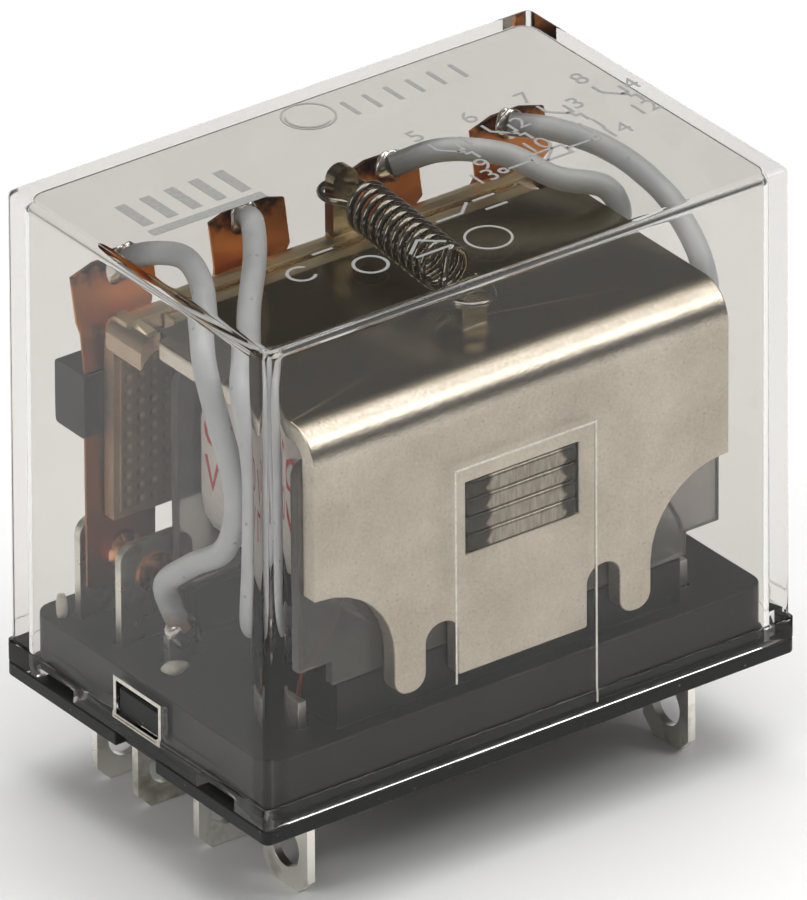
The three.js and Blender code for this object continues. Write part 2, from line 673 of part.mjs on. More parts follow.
poleX.forEach((x, i) => {
  const pole = new THREE.Group();
  pole.position.x = x;
  relay.add(pole);
  piece(pole, `moving_spring_${i + 1}`, movingSpring(springTabShift[i]), copperStrip);
  piece(pole, `moving_contact_${i + 1}`, movingContact, contactCopper);
});

// ---- Return spring ------------------------------------------------------------------------

// A helix with a flat loop at each end; the loops lie level round the two tabs.
const coilRadius = (returnDiameter - returnWire) / 2;
const hookY = grooveY + 0.55;
const rearCentre = [hookTab.x, hookY + hookTab.thickness / 2 - 0.25, yokeTop + returnRise + 0.2];
const frontCentre = [lance.x, lance.front + lance.thickness / 2 + 0.25, yokeTop + returnRise - 0.9];
const loopPoint = (centre, degrees) => {
  const angle = THREE.MathUtils.degToRad(degrees);
  return [centre[0] + coilRadius * Math.cos(angle), centre[1] + coilRadius * Math.sin(angle), centre[2]];
};
const bodyRear = rearCentre[1] - coilRadius - 0.55;
const bodyFront = frontCentre[1] + coilRadius + 0.55;
const stepsPerTurn = 10;
const springPoints = [];
const loopSteps = 9;
for (let i = 0; i <= loopSteps; i++) {
  springPoints.push(loopPoint(rearCentre, -60 + (330 * i) / loopSteps));
}
const bodySteps = Math.round(returnTurns * stepsPerTurn);
for (let i = 0; i <= bodySteps; i++) {
  const along = i / bodySteps;
  const angle = -Math.PI / 2 + 2 * Math.PI * returnTurns * along;
  const x = THREE.MathUtils.lerp(rearCentre[0], frontCentre[0], along);
  const z = THREE.MathUtils.lerp(rearCentre[2], frontCentre[2] + 0.35, along);
  springPoints.push([
    x + coilRadius * Math.cos(angle), THREE.MathUtils.lerp(bodyRear, bodyFront, along),
    z + coilRadius * Math.sin(angle)]);
}
for (let i = 0; i <= loopSteps; i++) {
  springPoints.push(loopPoint(frontCentre, 90 + (300 * i) / loopSteps));
}
piece(relay, 'return_spring', wire(springPoints, returnWire, 6, springPoints.length), springSteel);

// ---- Leads --------------------------------------------------------------------------------

// Each sleeved lead runs from the leaning tab of its spring, over the yoke, down beside it
// and in to the tab of its common terminal.
const tabFaceY = springFront + 0.9;
const leadTopZ = springTop - 0.3;
const beside = yokeHalf + leadDiameter / 2 + 0.2;
const overYoke = yokeTop + leadDiameter / 2 + 0.2;
const leadEnd = tabTop + solderGap;
const outerEndY = tabPlaces[0][1] + stripThickness / 2;
const innerEndY = commonBladeFront + stripThickness / 2;
const leadRoutes = [
  [
    [poleX[0] + 0.3, tabFaceY - 0.9, leadTopZ], [poleX[0] + 1.1, tabFaceY - 2.2, leadTopZ + 0.7],
    [poleX[0] + 1.9, 5.2, overYoke + 2.5], [poleX[0] + 1.1, 2.2, overYoke + 2.4],
    [-beside + 1.4, -1.1, overYoke + 1.8], [-beside - 0.1, -3.6, overYoke + 0.4],
    [-beside - 0.3, -5.3, overYoke - 2.8], [-beside - 0.3, -6.7, overYoke - 5.8],
    [-beside - 0.2, -6.9, overYoke - 8.6], [-beside - 0.1, -5.6, 16.7], [-beside, -1.8, 13.8],
    [-beside + 0.2, 1.3, 11], [-outerTabX - 0.7, outerEndY + 0.2, 8.9], [-outerTabX, outerEndY, leadEnd],
  ],
  [
    [poleX[1] - 0.4, tabFaceY - 0.9, leadTopZ], [poleX[1] - 0.9, tabFaceY - 2.2, leadTopZ + 0.5],
    [poleX[1] - 3.1, 4.3, overYoke + 1.4], [poleX[1] - 6.7, 0, overYoke + 0.5],
    [-beside + 2.6, -4, overYoke + 0.3], [-beside + 0.3, -7, overYoke],
    [-beside - 0.1, -8.2, overYoke - 2.2], [-beside, -8.6, overYoke - 5], [-beside, -8.6, 19.3],
    [-beside, -8.5, 16.8], [-beside + 0.5, -7.6, 13.3], [-beside + 1.7, -6, 10.9],
    [-beside + 3.5, -4, 9.3], [-innerTabX - 1.1, innerEndY - 0.4, 8.5],
    [-innerTabX, innerEndY, leadEnd + 0.7], [-innerTabX, innerEndY, leadEnd],
  ],
  [
    [poleX[2] + 1, tabFaceY - 0.9, leadTopZ], [poleX[2] + 3.8, tabFaceY - 2.4, leadTopZ + 0.9],
    [poleX[2] + 7, 4.8, overYoke + 1.9], [poleX[2] + 8.9, 1.8, overYoke + 0.9],
    [beside - 0.8, 0.2, overYoke + 0.1], [beside, -0.2, overYoke - 1.4], [beside, 0.3, 23.3],
    [beside, 0.5, 17.3], [beside - 0.6, 0.4, 13.8], [beside - 2.2, 0, 11.3], [beside - 4.2, -0.8, 9.5],
    [innerTabX + 1, innerEndY, 8.5], [innerTabX, innerEndY, leadEnd + 0.7],
    [innerTabX, innerEndY, leadEnd],
  ],
  [
    [poleX[3] + 0.5, tabFaceY - 0.9, leadTopZ], [poleX[3] + 2.2, tabFaceY - 3, leadTopZ],
    [beside + 1.2, 3, overYoke + 1.2], [beside + 1.4, -1.5, overYoke + 0.8],
    [beside + 1.3, -4.8, overYoke - 0.2], [beside + 1, -7.6, overYoke - 2.6],
    [beside + 0.8, -8.2, 22.3], [beside + 0.7, -7.5, 17.3],
    [beside + 0.5, -5, 13.3], [beside + 0.1, -2, 10.8], [outerTabX + 0.8, outerEndY - 0.8, 8.9],
    [outerTabX + 0.2, outerEndY, 8], [outerTabX, outerEndY, leadEnd],
  ],
];
leadRoutes.forEach((route, i) => {
  piece(relay, `lead_wire_${i + 1}`, wire(route, leadDiameter, 8, 28), leadSleeve);
});

const coilLeadY = coilFront + 0.4;
[-1, 1].forEach((side, i) => {
  const route = [
    [coilSide + 0.25, coilLeadY, coreMiddle - 3.6], [coilSide + 0.6, coilLeadY, coreMiddle - 5.2],
    [coilSide + 1.6, coilLeadY + 0.1, 10.7], [coilBladeX - 0.2, coilLeadY + 0.7, 8.7],
    [coilBladeX, coilBladeY - tabWidth / 2 + 0.4, tabTop + solderGap]];
  const placed = route.map(([x, y, z]) => [side * x, y, z]);
  piece(relay, `coil_lead_${i + 1}`, wire(placed, coilLeadDiameter, 6, 14), wireLacquer);
});

export default relay;
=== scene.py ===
import math

import bmesh
import bpy
import numpy as np
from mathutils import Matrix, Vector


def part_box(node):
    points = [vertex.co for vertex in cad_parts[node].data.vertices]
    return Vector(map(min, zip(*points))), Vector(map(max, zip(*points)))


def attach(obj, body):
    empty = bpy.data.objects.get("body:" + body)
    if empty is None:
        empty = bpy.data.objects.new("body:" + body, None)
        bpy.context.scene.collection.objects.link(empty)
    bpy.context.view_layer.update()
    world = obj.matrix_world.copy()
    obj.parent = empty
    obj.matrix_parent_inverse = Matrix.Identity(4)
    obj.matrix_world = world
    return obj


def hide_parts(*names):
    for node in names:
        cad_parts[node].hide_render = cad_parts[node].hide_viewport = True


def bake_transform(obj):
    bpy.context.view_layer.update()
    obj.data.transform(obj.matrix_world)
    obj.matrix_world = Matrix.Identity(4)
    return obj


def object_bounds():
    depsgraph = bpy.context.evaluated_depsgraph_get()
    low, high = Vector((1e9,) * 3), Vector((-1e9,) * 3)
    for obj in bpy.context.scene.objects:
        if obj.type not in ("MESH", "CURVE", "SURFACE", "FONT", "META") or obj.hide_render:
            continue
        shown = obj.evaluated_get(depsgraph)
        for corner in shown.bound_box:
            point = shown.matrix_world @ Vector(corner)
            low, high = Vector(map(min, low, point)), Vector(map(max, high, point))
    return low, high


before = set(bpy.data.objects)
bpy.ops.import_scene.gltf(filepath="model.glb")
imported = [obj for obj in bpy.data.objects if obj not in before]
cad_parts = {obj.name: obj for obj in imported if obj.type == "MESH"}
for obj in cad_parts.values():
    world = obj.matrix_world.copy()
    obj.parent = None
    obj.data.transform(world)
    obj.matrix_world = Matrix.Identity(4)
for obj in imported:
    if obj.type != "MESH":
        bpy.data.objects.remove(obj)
cad_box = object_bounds()

# ---- Camera -------------------------------------------------------------------------------
# A long lens far from the relay, so upright edges stay parallel, looking down on its left
# front corner.
azimuth, elevation, roll = (math.radians(v) for v in (-36.3213, 28.8481, -0.3533))
target = np.array([0, 0, 14.3]) / 1000
distance = 1.31796
back = np.array([
    math.sin(azimuth) * math.cos(elevation), -math.cos(azimuth) * math.cos(elevation), math.sin(elevation)])
level = np.array([math.cos(azimuth), math.sin(azimuth), 0])
upward = np.cross(back, level)
camera = bpy.data.objects.new("camera", bpy.data.cameras.new("camera"))
camera.data.sensor_width = 36
camera.data.lens = 829.68
camera.data.shift_x = 0.00404
camera.data.shift_y = 0.01748
camera.data.clip_start = 0.05
camera.data.clip_end = 10
pose = np.eye(4)
pose[:3, 0] = level * math.cos(roll) + upward * math.sin(roll)
pose[:3, 1] = upward * math.cos(roll) - level * math.sin(roll)
pose[:3, 2] = back
pose[:3, 3] = target + distance * back
camera.matrix_world = pose.T.tolist()
bpy.context.scene.collection.objects.link(camera)
bpy.context.scene.camera = camera
bpy.context.scene.view_settings.view_transform = "Standard"


# ---- Floor and light ----------------------------------------------------------------------
# A pale matt table under white softboxes: one overhead, one in front to the right and one on
# the left. The room beyond them is dim, which is what bright metal needs to show its form.
def linear(code):
    """An sRGB hex value as linear red, green, blue and alpha."""
    srgb = np.array([int(code[i:i + 2], 16) for i in (1, 3, 5)]) / 255
    low, high = srgb / 12.92, ((srgb + 0.055) / 1.055) ** 2.4
    return (*np.where(srgb <= 0.04045, low, high).tolist(), 1.0)


def add(tree, kind, inputs=None, stops=(), **settings):
    """Adds a shader node, sets its properties, fills or links the sockets named in inputs, and
    gives a ramp its stops, each a position and a colour."""
    node = tree.nodes.new(kind)
    for name, value in settings.items():
        setattr(node, name, value)
    for name, value in (inputs or {}).items():
        if isinstance(value, bpy.types.NodeSocket):
            tree.links.new(value, node.inputs[name])
        else:
            node.inputs[name].default_value = value
    if stops:
        ramp = node.color_ramp.elements
        ramp.remove(ramp[1])
        ramp[0].position, ramp[0].color = stops[0]
        for position, colour in stops[1:]:
            ramp.new(position).color = colour
    return node


def finish(name):
    """A new material with no nodes yet, and its tree."""
    material = bpy.data.materials.new(name)
    material.use_nodes = True
    material.node_tree.nodes.clear()
    return material, material.node_tree


def shaded(name, mesh, material, angle):
    """An object of one mesh in one material, shaded smooth except where faces meet at more than
    angle degrees."""
    mesh.name = name
    mesh.materials.clear()
    mesh.materials.append(material)
    mesh.polygons.foreach_set("use_smooth", np.ones(len(mesh.polygons), bool))
    mesh.polygons.foreach_set("material_index", np.zeros(len(mesh.polygons), np.int32))
    mesh.set_sharp_from_angle(angle=math.radians(angle))
    mesh.update()
    piece = bpy.data.objects.new(name, mesh)
    bpy.context.scene.collection.objects.link(piece)
    return piece


def surface(name, points, faces, material, angle=35):
    """A shaded object from points in millimetres (n by 3) and faces as rows of indices."""
    mesh = bpy.data.meshes.new(name)
    mesh.from_pydata((np.asarray(points, float) / 1000).tolist(), [], [list(face) for face in faces])
    return shaded(name, mesh, material, angle)


# Matt white table paint, so the floor only shows soft shadows.
table_paint, tree = finish("white_table_paint")
paint = add(tree, "ShaderNodeBsdfPrincipled", {"Base Color": linear("#f4f4f4"), "Roughness": 0.9})
add(tree, "ShaderNodeOutputMaterial", {"Surface": paint.outputs[0]})
gap_under_pins = 0.02
floor_z = cad_box[0].z * 1000 - gap_under_pins
reach = 1500
floor = surface("floor", [[-reach, -reach, floor_z], [reach, -reach, floor_z], [reach, reach, floor_z],
                          [-reach, reach, floor_z]], [[0, 1, 2, 3]], table_paint)

# In front the room brightens steadily with height. Behind, it is bright near the table and dark
# above it, so the yoke's flat top mirrors the dark and its bend mirrors the bright part.
world = bpy.data.worlds.new("dim_room")
world.use_nodes = True
world.node_tree.nodes.clear()
heading = add(world.node_tree, "ShaderNodeTexCoord").outputs["Generated"]
axes = add(world.node_tree, "ShaderNodeSeparateXYZ", {0: heading})
ahead = add(world.node_tree, "ShaderNodeMapRange", {
    "Value": axes.outputs["Z"], "From Min": 0.05, "From Max": 0.95, "To Min": 0.06, "To Max": 0.5})
behind = add(world.node_tree, "ShaderNodeValToRGB", {"Fac": axes.outputs["Z"]}, stops=[
    (height, (glow, glow, glow, 1))
    for height, glow in ((0, 0.75), (0.22, 0.6), (0.36, 0.1), (0.6, 0.12), (1, 0.5))])
rear_half = add(world.node_tree, "ShaderNodeMapRange", {
    "Value": axes.outputs["Y"], "From Min": -0.1, "From Max": 0.35})
dusk = add(world.node_tree, "ShaderNodeMix", {
    "Factor": rear_half.outputs[0], "A": ahead.outputs[0], "B": behind.outputs[0]}, data_type="FLOAT")
sky = add(world.node_tree, "ShaderNodeBackground", {
    "Color": linear("#f1f0ee"), "Strength": dusk.outputs[0]})
add(world.node_tree, "ShaderNodeOutputWorld", {"Surface": sky.outputs[0]})
bpy.context.scene.world = world


def softbox(name, place, size, power):
    """A rectangular lamp at place, size and place in millimetres, facing the middle of the relay."""
    lamp = bpy.data.objects.new(name, bpy.data.lights.new(name, "AREA"))
    lamp.data.shape = "RECTANGLE"
    lamp.data.size, lamp.data.size_y = size[0] / 1000, size[1] / 1000
    lamp.data.energy = power
    lamp.location = np.array(place) / 1000
    towards = Vector((0, 0, 0.014)) - lamp.location
    lamp.rotation_euler = towards.to_track_quat("-Z", "Y").to_euler()
    bpy.context.scene.collection.objects.link(lamp)


softbox("overhead_softbox", (60, 20, 520), (560, 460), 2.4)
softbox("front_softbox", (330, -330, 430), (300, 140), 0.9)
softbox("left_softbox", (-480, -60, 300), (240, 300), 0.7)


# ---- Base ---------------------------------------------------------------------------------
# One moulding in black glass-filled thermoplastic: a flange that closes the cover and a block
# inside it that grips the terminals. Its skin is finely textured and holds light dust.
merge_distance = 3e-6  # metres


def refined(node, edge, material, body="frame", segments=2, angle=25, joined=True):
    """A copy of a CAD solid, its triangles merged and, if joined, its flat regions made one
    face each, whose edges are rounded by edge millimetres."""
    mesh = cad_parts[node].data.copy()
    work = bmesh.new()
    work.from_mesh(mesh)
    bmesh.ops.remove_doubles(work, verts=work.verts, dist=merge_distance)
    if joined:
        bmesh.ops.dissolve_limit(
            work, angle_limit=math.radians(1), verts=work.verts, edges=work.edges)
    work.to_mesh(mesh)
    work.free()
    piece = shaded(node + "_finished", mesh, material, angle)
    if edge:
        bevel = piece.modifiers.new("rounded_edges", "BEVEL")
        bevel.width = edge / 1000
        bevel.segments = segments
        bevel.limit_method = "ANGLE"
        bevel.angle_limit = math.radians(angle)
    piece.modifiers.new("flats_stay_flat", "WEIGHTED_NORMAL").keep_sharp = True
    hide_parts(node)
    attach(piece, body)
    return piece


def moulded_black(name, colour, grain):
    """Textured black thermoplastic: spark-eroded grain of the given size in millimetres, which
    dulls its highlights, under scattered specks of pale dust."""
    material, tree = finish(name)
    place = add(tree, "ShaderNodeTexCoord").outputs["Object"]
    texture = add(tree, "ShaderNodeTexNoise", {"Vector": place, "Scale": 1000 / grain, "Detail": 3})
    cloud = add(tree, "ShaderNodeTexNoise", {"Vector": place, "Scale": 1000 / 6, "Detail": 4})
    specks = add(tree, "ShaderNodeTexVoronoi", {"Vector": place, "Scale": 1000 / 0.9})
    dust = add(tree, "ShaderNodeMapRange", {
        "Value": specks.outputs["Distance"], "From Min": 0.05, "From Max": 0.11, "To Min": 0.5, "To Max": 0})
    patchy = add(tree, "ShaderNodeMath", {0: dust.outputs[0], 1: cloud.outputs["Fac"]}, operation="MULTIPLY")
    shade = add(tree, "ShaderNodeMix", {
        "Factor": cloud.outputs["Fac"], "A": linear(colour), "B": linear("#191919")}, data_type="RGBA")
    dusty = add(tree, "ShaderNodeMix", {
        "Factor": patchy.outputs[0], "A": shade.outputs["Result"], "B": linear("#a9a39a")}, data_type="RGBA")
    rough = add(tree, "ShaderNodeMapRange", {
        "Value": cloud.outputs["Fac"], "From Min": 0.3, "From Max": 0.7, "To Min": 0.34, "To Max": 0.5})
    bump = add(tree, "ShaderNodeBump", {
        "Height": texture.outputs["Fac"], "Strength": 0.35, "Distance": 0.00003})
    plastic = add(tree, "ShaderNodeBsdfPrincipled", {
        "Base Color": dusty.outputs["Result"], "Roughness": rough.outputs[0], "Specular IOR Level": 0.3,
        "Normal": bump.outputs[0]})
    add(tree, "ShaderNodeOutputMaterial", {"Surface": plastic.outputs[0]})
    return material


black_moulding = moulded_black("black_glass_filled_pbt", "#080808", 0.14)
refined("base", 0.12, black_moulding)

# ---- Terminals ----------------------------------------------------------------------------
# Blades and plates stamped from brass strip and tinned. The tin is a warm, slightly greasy
# silver with fine rolling lines, finger marks and darker sheared edges.
tinned_brass, tree = finish("tinned_brass_strip")
place = add(tree, "ShaderNodeTexCoord").outputs["Object"]
stretch = add(tree, "ShaderNodeMapping", {"Vector": place, "Scale": (1, 1, 0.12)})
lines = add(tree, "ShaderNodeTexNoise", {"Vector": stretch.outputs[0], "Scale": 1000 / 0.12, "Detail": 2})
stain = add(tree, "ShaderNodeTexNoise", {"Vector": place, "Scale": 1000 / 2.6, "Detail": 6})
tone = add(tree, "ShaderNodeValToRGB", {"Fac": stain.outputs["Fac"]}, stops=[
    (0.3, linear("#b5afa2")), (0.48, linear("#f6f3ea"))])
rough = add(tree, "ShaderNodeMapRange", {
    "Value": stain.outputs["Fac"], "From Min": 0.3, "From Max": 0.7, "To Min": 0.42, "To Max": 0.24})
bump = add(tree, "ShaderNodeBump", {"Height": lines.outputs["Fac"], "Strength": 0.4, "Distance": 0.00002})
metal = add(tree, "ShaderNodeBsdfPrincipled", {
    "Base Color": tone.outputs["Color"], "Metallic": 1, "Roughness": rough.outputs[0],
    "Normal": bump.outputs[0]})
add(tree, "ShaderNodeOutputMaterial", {"Surface": metal.outputs[0]})
blades = [f"{kind}_terminal_{number}" for number in range(1, 5) for kind in ("nc", "no", "com")]
for blade in blades + ["coil_terminal_1", "coil_terminal_2"]:
    refined(blade, 0.06, tinned_brass)

# ---- Core, bobbin and coil ----------------------------------------------------------------
# The core is a stack of sheared silicon-steel plates; the shading ring round two of them is
# copper. The bobbin is a smoky, half-clear moulding, wound with enamelled wire and taped over.

# Grey steel with upright shear lines. The middle keeps the steel's own tones, and each end is darkened
# in scallops as painted shade, where the recessed plate ends lie in shade.
plate_step, core_middle = 0.00127, 0.00028
unshaded_half, scallop_depth = 0.003, 0.0004
sheared_steel, tree = finish("sheared_silicon_steel")
place = add(tree, "ShaderNodeTexCoord").outputs["Object"]
axes = add(tree, "ShaderNodeSeparateXYZ", {0: place})
shear = add(tree, "ShaderNodeMapping", {"Vector": place, "Scale": (1, 1, 0.15)})
grit = add(tree, "ShaderNodeTexNoise", {"Vector": shear.outputs[0], "Scale": 1000 / 0.18, "Detail": 4})
step = add(tree, "ShaderNodeMath", {
    0: axes.outputs["Z"], 1: round(math.pi / plate_step), 2: -0.9}, operation="MULTIPLY_ADD")
wave = add(tree, "ShaderNodeMath", {0: step.outputs[0]}, operation="SINE")
scallop = add(tree, "ShaderNodeMath", {0: wave.outputs[0]}, operation="ABSOLUTE")
middle = add(tree, "ShaderNodeMath", {0: axes.outputs["X"], 1: core_middle}, operation="SUBTRACT")
spread = add(tree, "ShaderNodeMath", {0: middle.outputs[0]}, operation="ABSOLUTE")
shade_reach = add(tree, "ShaderNodeMath", {
    0: scallop.outputs[0], 1: scallop_depth, 2: spread.outputs[0]}, operation="MULTIPLY_ADD")
# Painted shade: past a scalloped line near each end of a plate, the steel darkens towards near black.
painted_end_shade = add(tree, "ShaderNodeMapRange", {
    "Value": shade_reach.outputs[0], "From Min": unshaded_half, "From Max": 1.1 * unshaded_half,
    "To Min": 0, "To Max": 0.9})
body = add(tree, "ShaderNodeMix", {
    "Factor": grit.outputs["Fac"], "A": linear("#5b544b"), "B": linear("#d8d0c2")}, data_type="RGBA")
tone = add(tree, "ShaderNodeMix", {
    "Factor": painted_end_shade.outputs[0], "A": body.outputs["Result"], "B": linear("#26231f")}, data_type="RGBA")
bump = add(tree, "ShaderNodeBump", {"Height": grit.outputs["Fac"], "Strength": 0.7, "Distance": 0.00004})
metal = add(tree, "ShaderNodeBsdfPrincipled", {
    "Base Color": tone.outputs["Result"], "Metallic": 1, "Roughness": 0.32, "Normal": bump.outputs[0]})
add(tree, "ShaderNodeOutputMaterial", {"Surface": metal.outputs[0]})
for number in range(1, 5):
    refined(f"core_lamination_{number}", 0.3, sheared_steel, segments=3)


def copper_like(name, dark, light, roughness):
    """Bare copper alloy: two tones in soft patches, with fine polished scratches."""
    material, tree = finish(name)
    place = add(tree, "ShaderNodeTexCoord").outputs["Object"]
    patch = add(tree, "ShaderNodeTexNoise", {"Vector": place, "Scale": 1000 / 1.2, "Detail": 4})
    scratch = add(tree, "ShaderNodeTexNoise", {"Vector": place, "Scale": 1000 / 0.1, "Detail": 2})
    tone = add(tree, "ShaderNodeMix", {
        "Factor": patch.outputs["Fac"], "A": linear(dark), "B": linear(light)}, data_type="RGBA")
    bump = add(tree, "ShaderNodeBump", {
        "Height": scratch.outputs["Fac"], "Strength": 0.3, "Distance": 0.00002})
    metal = add(tree, "ShaderNodeBsdfPrincipled", {
        "Base Color": tone.outputs["Result"], "Metallic": 1, "Roughness": roughness,
        "Normal": bump.outputs[0]})
    add(tree, "ShaderNodeOutputMaterial", {"Surface": metal.outputs[0]})
    return material


ring_copper = copper_like("drawn_copper", "#9a5a3c", "#d58c62", 0.3)
refined("shading_ring", 0.08, ring_copper)

# Grey-tinted clear plastic with slow flow ripples. Lamp light passes straight through it.
smoky_moulding, tree = finish("smoky_polycarbonate")
place = add(tree, "ShaderNodeTexCoord").outputs["Object"]
flow = add(tree, "ShaderNodeTexNoise", {"Vector": place, "Scale": 1000 / 2.5, "Detail": 2})
tone = add(tree, "ShaderNodeMix", {
    "Factor": flow.outputs["Fac"], "A": linear("#8d8987"), "B": linear("#bdbab8")}, data_type="RGBA")
bump = add(tree, "ShaderNodeBump", {"Height": flow.outputs["Fac"], "Strength": 0.4, "Distance": 0.00006})
plastic = add(tree, "ShaderNodeBsdfPrincipled", {
    "Base Color": tone.outputs["Result"], "Roughness": 0.18, "IOR": 1.5, "Transmission Weight": 0.85,
    "Normal": bump.outputs[0]})
rays = add(tree, "ShaderNodeLightPath")
clear = add(tree, "ShaderNodeBsdfTransparent", {"Color": linear("#c9c6c4")})
mix = add(tree, "ShaderNodeMixShader", {
    0: rays.outputs["Is Shadow Ray"], 1: plastic.outputs[0], 2: clear.outputs[0]})
add(tree, "ShaderNodeOutputMaterial", {"Surface": mix.outputs[0]})
refined("bobbin", 0.1, smoky_moulding)

enamelled_copper = copper_like("enamelled_copper_wire", "#4a2412", "#8f4a24", 0.35)
refined("coil_winding", 0.1, enamelled_copper)
for number in (1, 2):
    refined(f"coil_lead_{number}", 0, enamelled_copper, angle=60)


def mottled(name, grain, detail, dark, light, roughness, metallic=0, relief=None):
    """A finish of two tones in patches of grain millimetres, with relief, if any, as the
    strength and the height in metres of a bump in the same patches."""
    material, tree = finish(name)
    place = add(tree, "ShaderNodeTexCoord").outputs["Object"]
    patch = add(tree, "ShaderNodeTexNoise", {"Vector": place, "Scale": 1000 / grain, "Detail": detail})
    tone = add(tree, "ShaderNodeMix", {
        "Factor": patch.outputs["Fac"], "A": linear(dark), "B": linear(light)}, data_type="RGBA")
    skin = add(tree, "ShaderNodeBsdfPrincipled", {
        "Base Color": tone.outputs["Result"], "Metallic": metallic, "Roughness": roughness})
    if relief:
        bump = add(tree, "ShaderNodeBump", {
            "Height": patch.outputs["Fac"], "Strength": relief[0], "Distance": relief[1]})
        tree.links.new(bump.outputs[0], skin.inputs["Normal"])
    add(tree, "ShaderNodeOutputMaterial", {"Surface": skin.outputs[0]})
    return material


# The tape is white and faintly wrinkled, and the red ink on it is worn thin in places.
white_tape = mottled("white_polyester_tape", 0.6, 3, "#d6cfca", "#f0edea", 0.4, relief=(0.3, 0.00005))
red_ink = mottled("red_printing_ink", 0.4, 3, "#b3262b", "#e0646a", 0.5)
refined("coil_label", 0.05, white_tape)


def ribbons(name, strokes, width, thickness, to_world, material, body):
    """Flat printed strokes. Each stroke is a line of (u, v) points in millimetres, widened by
    half the width either side along its mitred normal and given a thickness, and to_world
    maps u, v and height to X, Y and Z."""
    points, faces, base = [], [], 0
    for stroke in strokes:
        line = np.asarray(stroke, float)
        closed = bool(np.allclose(line[0], line[-1]))
        step = np.diff(line, axis=0)
        step /= np.linalg.norm(step, axis=1)[:, None]
        ahead = np.vstack([step, step[:1] if closed else step[-1:]])
        behind = np.vstack([step[-1:] if closed else step[:1], step])
        mean = ahead + behind
        mean /= np.linalg.norm(mean, axis=1)[:, None]
        stretch = 1 / np.maximum((mean * ahead).sum(1), 0.5)
        side = np.stack([-mean[:, 1], mean[:, 0]], 1) * (width / 2 * stretch)[:, None]
        flat = np.stack([line + side, line - side], 1)
        section = np.concatenate([
            np.dstack([flat, np.full(flat.shape[:2], thickness)]),
            np.dstack([flat[:, ::-1], np.zeros(flat.shape[:2])])], 1).reshape(-1, 3)
        points.append(section)
        k = base + 4 * np.arange(len(line) - 1)
        for a in range(4):
            b = (a + 1) % 4
            faces += np.stack([k + a, k + b, k + 4 + b, k + 4 + a], 1).tolist()
        if not closed:
            end = base + 4 * (len(line) - 1)
            faces += [[base + a for a in (3, 2, 1, 0)], [end + a for a in range(4)]]
        base += len(section)
    piece = surface(name, to_world(np.vstack(points)), faces, material)
    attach(piece, body)
    return piece


def bow(centre, half, start, end, steps=13):
    """Points on an ellipse arc from start to end degrees."""
    turn = np.radians(np.linspace(start, end, steps))
    return np.stack([centre[0] + half[0] * np.cos(turn), centre[1] + half[1] * np.sin(turn)], 1)


tape_side, letter_pitch, line_pitch = -12.585, 2.5, 3.1
half_letter, letter_width = 1.05, 1.4
letters = []
for row in range(2):
    for step in range(5):
        u, v = -3 + letter_pitch * step, 20.2 - line_pitch * row
        low, high, far = v - half_letter, v + half_letter, u + letter_width
        letters.append((
            bow((u + letter_width / 2, v), (letter_width / 2, half_letter), 0, 360),
            [(u, high), (u + letter_width / 2, low), (far, high)],
            [(u, low), (u, high), (far, high)])[(step + row) % 3])
side_wall = lambda p: np.stack([tape_side - p[:, 2], -p[:, 0], p[:, 1]], 1)
ribbons("label_print", letters, 0.3, 0.02, side_wall, red_ink, "frame")

# ---- Yoke and armature --------------------------------------------------------------------
# Both are stamped from sheet iron and nickel-plated: matt and faintly pitted on the flat front,
# smoother on top, where a darker colour is painted shade, and brightest along the rounded edges of
# the hinge groove, which catch the light and also carry a painted highlight.
bend_fade = {"From Min": 0.02715, "From Max": 0.02748}
hinge_y, groove_top = 0.006, 27.3


